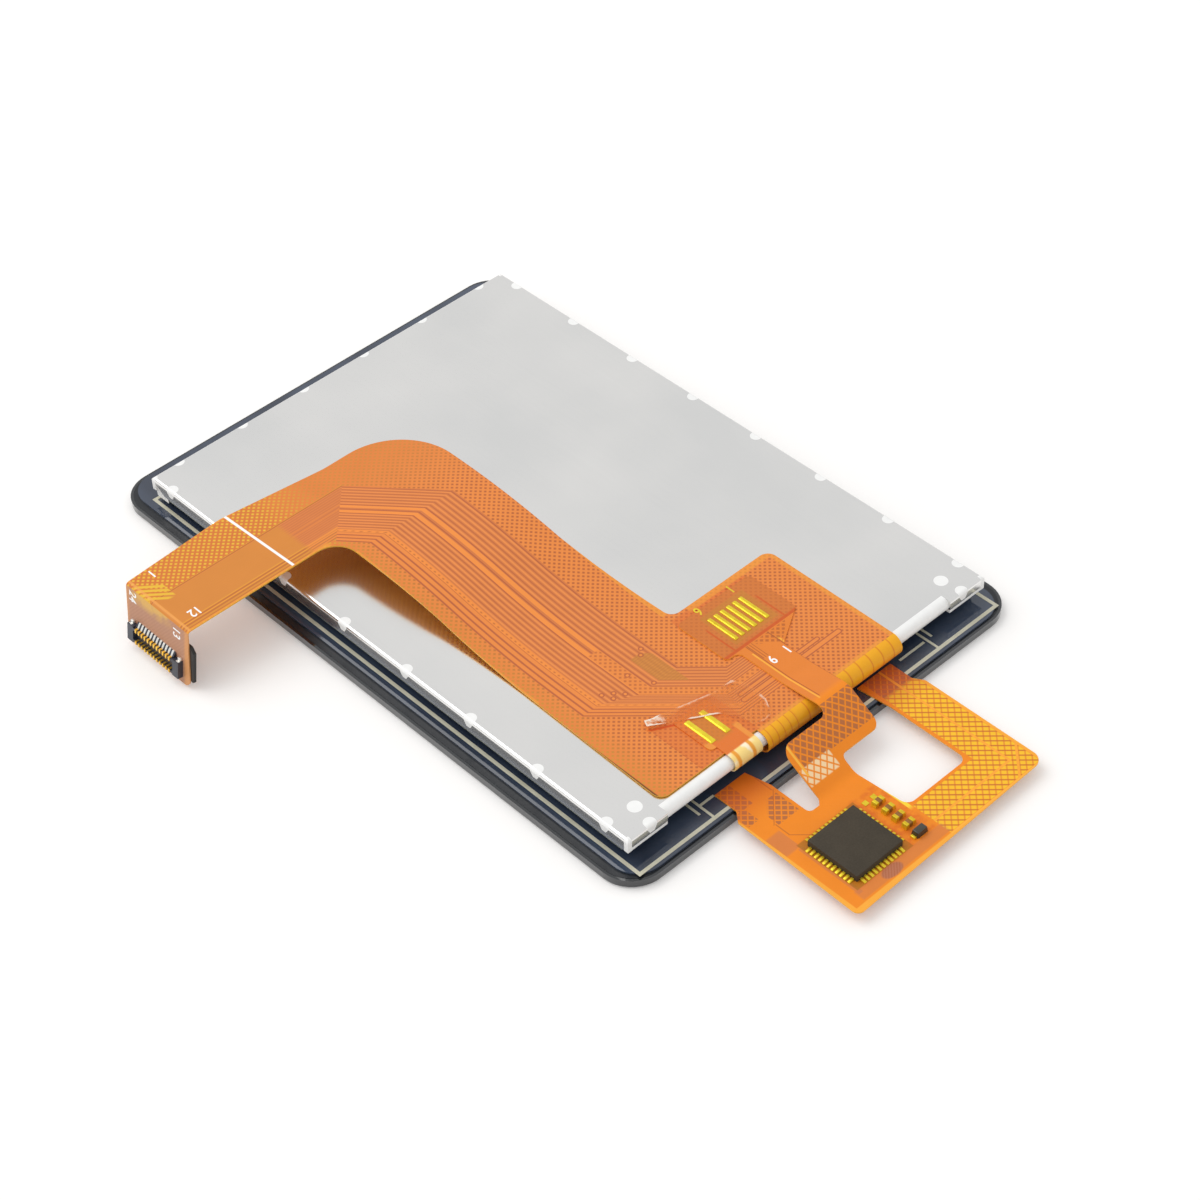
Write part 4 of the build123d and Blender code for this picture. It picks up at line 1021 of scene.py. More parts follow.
        seen = tree.over(tree.flat(self.paddle), holes * 0.35, self.block_hole)
        between = tree.patch(self.strip_gaps)
        seen = tree.over(seen, between * 0.55, self.olive)
        # Painted shadow along the paddle's left, right and lower edges.
        frame = x.near(-0.35, 0.16, 0.1).most(x.near(5.25, 0.16, 0.1)) * y.below(-18.2, 0.3)
        frame = frame.most(y.below(-21.35, 0.12))
        seen = tree.over(seen, frame * 0.75, self.deep_and_shadow)
        neck = tree.over(neck, paddle, seen)
        tree.paint(on_neck, neck)


@dataclass(frozen=True)
class NavyGlassFinish:
    """Dark printed border seen through the glossy touch film."""

    name: str = "navy_touch_film"
    colour: Colour = (60, 71, 90)
    second: Colour = (42, 51, 68)

    def make(self) -> Material:
        """Builds the material.

        Returns:
            Glossy dark material.
        """
        tree = PaintTree(self.name)
        cloud = tree.noise(0.22, 2.0, (1.0, 0.35, 1.0))
        tree.colour(tree.over(tree.flat(self.colour), cloud.above(0.5, 0.3), self.second))
        tree.feed("Roughness", cloud * 0.05 + 0.06)
        tree.hold(Coat_Weight=0.6, Coat_Roughness=0.04)
        return tree.material


@dataclass(frozen=True)
class TornFilmFinish:
    """Thin clear amber tape that turns white where it is torn, with painted highlights in that white
    along two of its edges.
    """

    name: str = "torn_amber_film"
    colour: Colour = (238, 150, 70)
    torn: Colour = (252, 240, 224)
    clear: float = 0.10
    lower_edge_glints: Patch = Patch((-8.2, -6.1), (-25.5, -24.0), 0.3, 0.2)

    def make(self) -> Material:
        """Builds the material.

        Returns:
            Partly clear material.
        """
        tree = PaintTree(self.name)
        x, y = tree.x, tree.y
        shreds = tree.noise(3.0, 3.0, (1.0, 0.5, 1.0))
        edge = tree.nodes.new("ShaderNodeAttribute")
        edge.attribute_name = "torn"
        torn = Field(tree, edge.outputs["Fac"])
        # White shreds at the left tip and a broken white line along the right end are torn film; the
        # same white along the lower edge over the strips and along the upper edge is painted
        # highlight.
        tip = x.below(-9.5, 0.5) * y.above(-23.1, 0.3)
        lower_edge_glints = tree.patch(self.lower_edge_glints)
        upper = x.between(-8.0, -5.2, 0.3) * y.above(-23.6, 0.2)
        lower = x.above(-5.0, 0.4)
        patches = tree.noise(0.9, 1.0).above(0.52, 0.12)
        where = tip.most(lower_edge_glints * 0.9).most(upper * 0.5).most(lower * patches * 0.55)
        white = (torn * 1.2 + shreds * 1.1).above(1.30, 0.3) * where
        white = white.most(tip * shreds.above(0.5, 0.2) * 0.8)
        tree.colour(tree.over(tree.flat(self.colour), white, self.torn))
        tree.feed("Alpha", white * 0.72 + self.clear)
        tree.feed("Roughness", shreds * 0.15 + 0.25)
        tree.relief(shreds, 0.03)
        return tree.material


class Bench:
    """Modelling bench: adds primitives, picks their faces or edges in code, and shapes them."""

    @staticmethod
    def clear() -> None:
        """Leaves edit mode and deselects everything."""
        if bpy.context.object is not None and bpy.context.object.mode != "OBJECT":
            bpy.ops.object.mode_set(mode="OBJECT")
        bpy.ops.object.select_all(action="DESELECT")

    @staticmethod
    def block(name: str, low: Point, high: Point) -> Piece:
        """Adds a block between two corners in millimetres.

        Args:
            name: The piece's name.
            low: Lowest corner.
            high: Highest corner.

        Returns:
            The new object, with its size in its mesh.
        """
        Bench.clear()
        middle = [(a + b) / 2 * MM for a, b in zip(low, high)]
        bpy.ops.mesh.primitive_cube_add(size=1.0, location=middle)
        piece = bpy.context.object
        piece.name = name
        piece.scale = [(b - a) * MM for a, b in zip(low, high)]
        bpy.ops.object.transform_apply(location=True, rotation=True, scale=True)
        return piece

    @staticmethod
    def pick(piece: Piece, kind: str, wanted: Test) -> None:
        """Selects faces, edges or vertices in edit mode.

        Args:
            piece: The object to shape.
            kind: "FACE", "EDGE" or "VERT".
            wanted: Says whether an element is picked.
        """
        bpy.context.view_layer.objects.active = piece
        piece.select_set(True)
        if piece.mode != "EDIT":
            bpy.ops.object.mode_set(mode="EDIT")
        bpy.ops.mesh.select_mode(type=kind)
        bpy.ops.mesh.select_all(action="DESELECT")
        mesh = bmesh.from_edit_mesh(piece.data)
        groups = {"FACE": mesh.faces, "EDGE": mesh.edges, "VERT": mesh.verts}
        for element in groups[kind]:
            if wanted(element):
                element.select_set(True)
        bmesh.update_edit_mesh(piece.data)

    @staticmethod
    def move(shift: Point) -> None:
        """Moves what is picked by a shift in millimetres and leaves edit mode."""
        bpy.ops.transform.translate(value=[part * MM for part in shift])
        bpy.ops.object.mode_set(mode="OBJECT")

    @staticmethod
    def faces_up(face: bmesh.types.BMFace) -> bool:
        """Test for a face that looks up."""
        return face.normal.z > 0.9

    @staticmethod
    def upper(level: float, whole: bool = True) -> Test:
        """Test for an edge that lies above a level in millimetres, as a whole or with one end."""
        ends = all if whole else any
        return lambda edge: ends(vertex.co.z > level * MM for vertex in edge.verts)

    @staticmethod
    def bevel(piece: Piece, width: float, wanted: Test, segments: int = 2) -> None:
        """Rounds the edges that are wanted.

        Args:
            piece: The object to shape.
            width: Width of the bevel in millimetres.
            wanted: Says whether an edge is rounded.
            segments: Number of steps round it.
        """
        Bench.pick(piece, "EDGE", wanted)
        bpy.ops.mesh.bevel(offset=width * MM, segments=segments, affect="EDGES")
        bpy.ops.object.mode_set(mode="OBJECT")

    @staticmethod
    def copy(piece: Piece, shift: Point) -> Piece:
        """Copies a piece with a mesh of its own.

        Args:
            piece: The object to copy.
            shift: How far the copy's mesh is moved, in millimetres.

        Returns:
            The copy.
        """
        twin = piece.copy()
        twin.data = piece.data.copy()
        bpy.context.scene.collection.objects.link(twin)
        twin.data.transform(Matrix.Translation([part * MM for part in shift]))
        return twin

    @staticmethod
    def join(pieces: Sequence[Piece], name: str) -> Piece:
        """Joins several objects into one piece.

        Args:
            pieces: Objects of one finish.
            name: The joined piece's name.

        Returns:
            The joined object.
        """
        Bench.clear()
        for piece in pieces:
            piece.select_set(True)
        bpy.context.view_layer.objects.active = pieces[0]
        if len(pieces) > 1:
            bpy.ops.object.join()
        pieces[0].name = name
        return pieces[0]

    @staticmethod
    def settle(piece: Piece, place: Matrix) -> None:
        """Puts a piece at its place and applies it to the mesh.

        Args:
            piece: The object.
            place: Its place in metres.
        """
        Bench.clear()
        piece.matrix_world = place
        piece.select_set(True)
        bpy.context.view_layer.objects.active = piece
        bpy.ops.object.transform_apply(location=True, rotation=True, scale=True)

    @staticmethod
    def smooth(piece: Piece, degrees: float = 40.0) -> None:
        """Shades a piece smooth where its faces meet at less than an angle.

        Args:
            piece: The object.
            degrees: The angle.
        """
        Bench.clear()
        piece.select_set(True)
        bpy.context.view_layer.objects.active = piece
        bpy.ops.object.shade_smooth_by_angle(angle=math.radians(degrees))


@dataclass
class SubAssembly:
    """Shared steps of the sub-assemblies: dressing solids and handing over new pieces."""

    frame: dict

    def dress(self, material: Material, *names: str) -> None:
        """Gives CAD nodes a finish.

        Args:
            material: The finish.
            names: The nodes that take it.
        """
        for name in names:
            piece = self.frame["nodes"][name]
            if piece.material_slots:
                for slot in piece.material_slots:
                    slot.material = material
            else:
                piece.data.materials.append(material)
            LOG.info("dressed %s with %s", name, material.name)

    def hand_over(self, piece: Piece, material: Material, slot: str, *nodes: str) -> None:
        """Finishes a new piece: its material, its body and the nodes it stands for.

        Args:
            piece: The new object.
            material: Its finish.
            slot: The record's material slot; not used.
            nodes: CAD nodes that it replaces.
        """
        piece.data.materials.clear()
        piece.data.materials.append(material)
        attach(piece, BODY)
        if nodes:
            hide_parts(*nodes)
        LOG.info("made %s with %d faces", piece.name, len(piece.data.polygons))


@dataclass(frozen=True)
class FlapPlace:
    """Frame on the flap's outer face: x runs down the flap, y along -Y, and z outward."""

    degrees: float = 260.5
    start: Point = (-30.4751, 0.0, 5.2994)

    def matrix(self, drop: float, y: float, lift: float = 0.0) -> Matrix:
        """Place on the flap.

        Args:
            drop: Distance down the flap in millimetres.
            y: Place along the fold.
            lift: Distance out from the face.

        Returns:
            Matrix in metres that carries a piece from the origin to that place.
        """
        turn = math.radians(self.degrees)
        down = Vector((math.cos(turn), 0.0, math.sin(turn)))
        out = Vector((math.sin(turn), 0.0, -math.cos(turn)))
        origin = (Vector(self.start) + down * drop + out * lift + Vector((0.0, y, 0.0))) * MM
        along = Vector((0.0, -1.0, 0.0))
        turned = Matrix((down, along, out)).transposed().to_4x4()
        return Matrix.Translation(origin) @ turned


@dataclass
class Studio:
    """Pale table, soft light and the camera at the photograph's viewing angle."""

    camera_at: Point = (-109.712, -127.629, 155.075)
    camera_forward: Point = (0.48311, 0.53804, -0.69074)
    camera_right: Point = (0.72378, -0.68935, -0.03073)
    focal_px: float = 2744.57
    image_px: float = 1200.0
    sensor: float = 36.0
    clip: Span = (10.0, 20000.0)
    table_half: float = 3000.0
    table_drop: float = 0.02
    table_colour: Colour = (238, 236, 234)
    lift_to_white: float = 0.16
    sky: float = 0.80
    key_power: float = 1.1
    key_size: float = 420.0
    key_at: Point = (-160.0, 260.0, 420.0)

    def build(self) -> None:
        """Builds the table, the lamps and the camera."""
        self._table()
        self._light()
        self._camera()

    def _table(self) -> None:
        """Adds the table, whose lit parts reach white for the eye and for reflections."""
        Bench.clear()
        spot = (0.0, 0.0, -self.table_drop * MM)
        bpy.ops.mesh.primitive_plane_add(size=2 * self.table_half * MM, location=spot)
        table = bpy.context.object
        table.name = "table"
        tree = PaintTree("pale_table")
        tree.shader.inputs["Base Color"].default_value = linear(self.table_colour)
        tree.hold(Roughness=0.9, Specular_IOR_Level=0.1)
        path = tree.nodes.new("ShaderNodeLightPath")
        seen = Field(tree, path.outputs["Is Camera Ray"])
        seen = seen.most(Field(tree, path.outputs["Is Glossy Ray"]))
        seen = seen.most(Field(tree, path.outputs["Is Transmission Ray"]))
        tree.feed("Emission Strength", seen * self.lift_to_white)
        tree.shader.inputs["Emission Color"].default_value = (1.0, 1.0, 1.0, 1.0)
        table.data.materials.append(tree.material)

    def _light(self) -> None:
        """Adds an even sky and one large soft lamp."""
        world = bpy.data.worlds.new("studio_sky")
        world.use_nodes = True
        nodes, links = world.node_tree.nodes, world.node_tree.links
        sky = nodes["Background"]
        sky.inputs["Color"].default_value = (1.0, 1.0, 1.0, 1.0)
        path = nodes.new("ShaderNodeLightPath")
        seen = nodes.new("ShaderNodeMath")
        seen.operation = "MULTIPLY_ADD"
        seen.inputs[1].default_value = 1.0 - self.sky
        seen.inputs[2].default_value = self.sky
        links.new(path.outputs["Is Camera Ray"], seen.inputs[0])
        links.new(seen.outputs[0], sky.inputs["Strength"])
        bpy.context.scene.world = world
        lamp = bpy.data.lights.new("key_lamp", "AREA")
        lamp.energy = self.key_power
        lamp.size = self.key_size * MM
        key = bpy.data.objects.new("key_lamp", lamp)
        key.location = [part * MM for part in self.key_at]
        key.rotation_mode = "QUATERNION"
        key.rotation_quaternion = (-Vector(self.key_at)).to_track_quat("-Z", "Y")
        bpy.context.scene.collection.objects.link(key)

    def _camera(self) -> None:
        """Adds the camera from its place, its view direction and its focal length in pixels."""
        data = bpy.data.cameras.new("photo_camera")
        data.sensor_width = self.sensor
        data.lens = self.focal_px / self.image_px * self.sensor
        data.clip_start, data.clip_end = (reach * MM for reach in self.clip)
        camera = bpy.data.objects.new("photo_camera", data)
        forward = Vector(self.camera_forward).normalized()
        right = Vector(self.camera_right)
        right = (right - forward * right.dot(forward)).normalized()
        turned = Matrix((right, right.cross(forward), -forward)).transposed().to_4x4()
        camera.matrix_world = Matrix.Translation(Vector(self.camera_at) * MM) @ turned
        bpy.context.scene.collection.objects.link(camera)
        bpy.context.scene.camera = camera
        bpy.context.scene.view_settings.view_transform = "Standard"


@dataclass
class GlassFront(SubAssembly):
    """Cover glass with its dark border, and the touch film behind it."""

    def build(self) -> None:
        """Dresses the glass, its print, its adhesives and the touch film."""
        cover = PlainFinish(
            "cover_glass_edge", (38, 43, 49), (29, 34, 40), roughness=0.05, coat=0.8,
            transmission=0.35, grain_per_mm=0.5, grain_depth=0.0005,
        )
        ink = PlainFinish("dark_border_ink", (24, 28, 34), (18, 22, 28), roughness=0.35)
        glue = PlainFinish(
            "clear_adhesive", (96, 104, 114), (84, 92, 104), roughness=0.1, transmission=0.5
        )
        silver = PlainFinish(
            "silver_paste", (214, 210, 190), (192, 188, 166), roughness=0.5, metallic=0.2,
            grain_per_mm=9.0,
        )
        foam = PlainFinish(
            "black_foam_tape", (20, 20, 21), (12, 12, 13), roughness=0.8, grain_per_mm=12.0
        )
        self.dress(cover.make(), "cover_lens")
        self.dress(ink.make(), "border_ink")
        self.dress(glue.make(), "lens_adhesive")
        self.dress(NavyGlassFinish().make(), "touch_sensor")
        self.dress(silver.make(), "guard_traces")
        self.dress(foam.make(), "bonding_tape", "rim_tape", "flex_adhesive")


@dataclass
class DisplayCell(SubAssembly):
    """The two cell glasses with their polarizers and the long driver chip."""

    def build(self) -> None:
        """Dresses the cell's layers."""
        polarizer = PlainFinish(
            "tinted_polarizer", (58, 60, 64), (46, 48, 52), roughness=0.15, coat=0.4
        )
        edge = PlainFinish(
            "cut_glass_edge", (120, 132, 130), (88, 100, 100), roughness=0.12, coat=0.5,
            transmission=0.4, grain_per_mm=3.0,
        )
        silicon = PlainFinish(
            "polished_silicon", (96, 96, 104), (80, 80, 90), roughness=0.12, metallic=0.6
        )
        self.dress(polarizer.make(), "front_polarizer", "rear_polarizer")
        self.dress(edge.make(), "filter_glass", "tft_glass")
        self.dress(silicon.make(), "driver_chip")


@dataclass
class LightSource(SubAssembly):
    """White moulded frame with its light guide, sheets and lamps."""

    def build(self) -> None:
        """Dresses the frame and everything that it holds."""
        film = PlainFinish(
            "translucent_film", (226, 228, 230), (214, 217, 220), roughness=0.3, transmission=0.3
        )
        acrylic = PlainFinish(
            "clear_acrylic", (232, 238, 240), (224, 230, 234), roughness=0.05, transmission=0.7,
            grain_depth=0.0005,
        )
        mirror = PlainFinish("white_reflector", (244, 244, 244), (236, 236, 236), roughness=0.35)
        moulded = PlainFinish(
            "white_moulding", (246, 246, 244), (238, 238, 237), roughness=0.32, coat=0.1,
            grain_per_mm=2.0, grain_depth=0.003,
        )
        lamp = PlainFinish("yellow_lamp", (242, 232, 160), (250, 246, 226), roughness=0.4)
        self.dress(film.make(), "prism_sheet_front", "prism_sheet_back", "diffuser_sheet")
        self.dress(acrylic.make(), "light_guide")
        self.dress(mirror.make(), "reflector_sheet")
        self.dress(moulded.make(), "backlight_frame")
        self.dress(lamp.make(), "led_packages")


@dataclass
class SteelTray(SubAssembly):
    """Pressed steel back."""

    def build(self) -> None:
        """Dresses the tray."""
        self.dress(PressedSteelFinish().make(), "steel_back")


class Surface(Enum):
    """Surfaces that carry printed numbers."""

    TAIL = "tail"
    FLAP = "flap"
    PADDLE = "paddle"
    NECK = "neck"


@dataclass(frozen=True)
class NumberPlace:
    """One printed pin number: its text, the surface, and the middle of the text on it."""

    text: str
    surface: Surface
    across: float
    along: float


@dataclass
class MainCircuit(SubAssembly):
    """Folded main circuit, with the plain pin numbers printed on it and on the touch circuit."""

    number_height: float = 0.90
    capital_share: float = 0.70
    number_squeeze: float = 0.84
    print_lift: float = 0.002
    print_depth: float = 0.002
    print_bold: float = 0.02
    tail_top: float = 5.60
    neck_top: float = 3.68
    numbers: tuple[NumberPlace, ...] = (
        NumberPlace("1", Surface.TAIL, -28.33, 16.67),
        NumberPlace("12", Surface.TAIL, -28.57, 10.71),
        NumberPlace("24", Surface.FLAP, 0.60, 16.45),
        NumberPlace("13", Surface.FLAP, 0.64, 10.66),
        NumberPlace("6", Surface.NECK, 0.98, -24.20),
        NumberPlace("1", Surface.NECK, 2.62, -24.20),
        NumberPlace("1", Surface.PADDLE, 4.34, -16.18),
        NumberPlace("6", Surface.PADDLE, 0.72, -16.18),
    )

    def build(self) -> None:
        """Dresses the circuit and its light tongue, and prints the numbers."""
        self.dress(MainCircuitFinish().make(), "main_flex")
        self.dress(LightTongueFinish().make(), "led_flex")
        white = PlainFinish("white_print", (253, 253, 252), (246, 246, 245), roughness=0.5).make()
        gold = PlainFinish(
            "gold_print", (240, 214, 44), (226, 190, 36), roughness=0.35, metallic=0.3
        ).make()
        pieces = [self._number(place) for place in self.numbers]
        gilt = [p for p, n in zip(pieces, self.numbers) if n.surface is Surface.PADDLE]
        plain = [p for p, n in zip(pieces, self.numbers) if n.surface is not Surface.PADDLE]
        self.hand_over(Bench.join(plain, "pin_numbers_white"), white, "main_circuit")
        self.hand_over(Bench.join(gilt, "pin_numbers_gold"), gold, "gold_plate")

    def _number(self, place: NumberPlace) -> Piece:
        """Prints one number.

        Args:
            place: Its text and place.

        Returns:
            A thin raised mesh, settled on the circuit.
        """
        Bench.clear()
        bpy.ops.object.text_add()
        text = bpy.context.object
        text.data.body = place.text
        text.data.align_x = "CENTER"
        text.data.align_y = "CENTER"
        text.data.size = self.number_height / self.capital_share
        text.data.extrude = self.print_depth / 2
        text.data.offset = self.print_bold
        bpy.ops.object.convert(target="MESH")
        small = Matrix.Diagonal((self.number_squeeze * MM, MM, MM, 1.0))
        Bench.settle(bpy.context.object, self._spot(place) @ small)
        return bpy.context.object

    def _spot(self, place: NumberPlace) -> Matrix:
        """Place of a number: the flap's own frame, or level and turned for its reader.

        Args:
            place: The number and its surface.

        Returns:
            Matrix in metres.
        """
        if place.surface is Surface.FLAP:
            return FlapPlace().matrix(place.across, place.along, self.print_lift)
        top = self.tail_top if place.surface is Surface.TAIL else self.neck_top
        level = top + self.print_lift
        turn = 0.0 if place.surface is Surface.NECK else math.pi
        spot = Matrix.Translation(Vector((place.across, place.along, level)) * MM)
        return spot @ Matrix.Rotation(turn, 4, "Z")


@dataclass
class BoardConnector(SubAssembly):
    """Board connector on the flap, with its stiffener behind."""

    drop: float = 3.77
    along: float = 13.15
    width: float = 1.58
    recess: float = 0.10
    wall: float = 0.32
    height: float = 0.50
    pins: int = 12
    pitch: float = 0.40
    pin_w: float = 0.21
    pin_t: float = 0.06
    pin_round: float = 0.022
    foot: float = 0.42
    foot_t: float = 0.34
    foot_toe_t: float = 0.10
    floor: float = 0.16
    clip_x: Span = (-1.06, -0.70)
    clip_y: Span = (2.92, 3.28)
    clip_t: float = 0.24
    clip_riser: Span = (0.12, 0.42)
    clip_round: float = 0.05
    rib_half: float = 0.09
    rib_reach: float = 0.36
    rib_t: float = 0.30
    rib_toe_t: float = 0.08
    toe_margin: float = 0.1

    def build(self) -> None:
        """Models the contacts and clips, and dresses the housing and the stiffener."""
        plastic = PlainFinish(
            "connector_moulding", (58, 62, 74), (40, 43, 54), roughness=0.32, grain_per_mm=10.0
        ).make()
        laminate = PlainFinish(
            "black_laminate", (22, 21, 20), (32, 28, 24), roughness=0.5, grain_per_mm=5.0
        )
        gold = PlainFinish(
            "gold_plating", (255, 216, 92), (240, 182, 60), roughness=0.24, metallic=0.75,
            grain_per_mm=6.0,
        ).make()
        tin = PlainFinish(
            "bright_tin", (244, 244, 240), (222, 222, 216), roughness=0.28, metallic=0.7,
            grain_per_mm=8.0,
        ).make()
        self.dress(plastic, "connector_housing")
        self.dress(laminate.make(), "flex_stiffener")
        self._place(self._contacts(), "formed_contacts", gold, "gold_plate", "connector_contacts")
        self._place(self._feet(), "soldered_feet", tin, "tin_plate", "connector_contacts")
        self._place(self._ribs(), "housing_ribs", plastic, "connector_plastic")
        clips = [self._clip(side) for side in (-1, 1)]
        self._place(clips, "hold_down_clips", tin, "tin_plate", "connector_hold_downs")

    def _place(
        self, parts: list[Piece], name: str, material: Material, slot: str, *nodes: str
    ) -> None:
        """Joins parts that were modelled round the connector's middle and puts them on the flap.

        Args:
            parts: The parts.
            name: The joined piece's name.
            material: Its finish.
            slot: The record's material slot.
            nodes: CAD nodes that it replaces.
        """
        joined = Bench.join(parts, name)
        Bench.settle(joined, FlapPlace().matrix(self.drop, self.along))
        Bench.smooth(joined)
        self.hand_over(joined, material, slot, *nodes)

    def _contact(self, side: int) -> list[Piece]:
        """Models the first contact of a row: riser, rounded crown and inner leg.

        Args:
            side: -1 for the row nearer the fold and 1 for the other.

        Returns:
            Its parts, round the connector's middle.
        """
        outer = side * (self.width / 2 - self.recess)
        inner = side * (self.width / 2 - self.wall)
        half = self.pin_w / 2
        top = self.height + self.pin_t
        parts = []
        spans = (
            (outer, outer + side * self.pin_t, 0.0, top),
            (inner - side * self.pin_t, outer + side * self.pin_t, self.height, top),
            (inner - side * self.pin_t, inner, self.floor, top),
        )
        for first, second, low, high in spans:
            x0, x1 = sorted((first, second))
            part = Bench.block("contact_part", (x0, -half, low), (x1, half, high))
            Bench.bevel(part, self.pin_round, Bench.upper(0.0))
            parts.append(part)
        return parts

    def _row(self, part: Piece, count: int) -> list[Piece]:
        """Copies a part at the pins' pitch and removes the first one.

        Args:
            part: The part at the row's middle.
            count: Number of copies.

        Returns:
            The copies, centred on the middle.
        """
        first = -(count - 1) / 2 * self.pitch
        row = [Bench.copy(part, (0.0, first + k * self.pitch, 0.0)) for k in range(count)]
        bpy.data.objects.remove(part)
        return row

    def _contacts(self) -> list[Piece]:
        """Models both rows of contacts."""
        first = self._row(Bench.join(self._contact(-1), "contact"), self.pins)
        return first + self._row(Bench.join(self._contact(1), "contact"), self.pins)

    def _feet(self) -> list[Piece]:
        """Models both rows of soldered feet.

        Returns:
            The feet, round the connector's middle.
        """
        rows = []
        for side in (-1, 1):
            outer = side * (self.width / 2 - self.recess)
            x0, x1 = sorted((outer, outer + side * (self.recess + self.foot)))
            foot = Bench.block("foot", (x0, -self.pin_w / 2, 0.0), (x1, self.pin_w / 2, self.foot_t))
            self._slope(foot, side, self.foot_t - self.foot_toe_t)
            Bench.bevel(foot, self.pin_round, Bench.upper(0.0))
            rows += self._row(foot, self.pins)
        return rows

    def _ribs(self) -> list[Piece]:
        """Models the housing's ribs between the feet of the row nearer the fold.

        Returns:
            The ribs, round the connector's middle.
        """
        outer = -self.width / 2
        rib = Bench.block(
            "rib", (outer - self.rib_reach, -self.rib_half, 0.0), (outer, self.rib_half, self.rib_t)
        )
        self._slope(rib, -1, self.rib_t - self.rib_toe_t)
        return self._row(rib, self.pins + 1)

    def _slope(self, part: Piece, side: int, drop: float) -> None:
        """Lowers the upper edge of a part's outer end.

        Args:
            part: A foot or a rib.
            side: -1 for the row nearer the fold and 1 for the other.
            drop: How far the edge is lowered, in millimetres.
        """
        limit = (self.width / 2 + self.toe_margin) * MM
        base = self.toe_margin * MM
        Bench.pick(part, "VERT", lambda v: side * v.co.x > limit and v.co.z > base)
        Bench.move((0.0, 0.0, -drop))

    def _clip(self, side: int) -> Piece:
        """Models one hold-down clip: a soldered foot beside the housing's corner and its riser.

        Args:
            side: -1 or 1 for the connector's end.

        Returns:
            The clip, round the connector's middle.
        """
        y0, y1 = sorted(side * y for y in self.clip_y)
        x0, x1 = self.clip_x
        width, top = self.clip_riser
        foot = Bench.block("clip_foot", (x0, y0, 0.0), (x1, y1, self.clip_t))
        riser = Bench.block("riser", (x1 - width, y0, 0.0), (x1, y1, top))
        for part in (foot, riser):
            Bench.bevel(part, self.clip_round, lambda edge: True)
        return Bench.join([foot, riser], "clip")


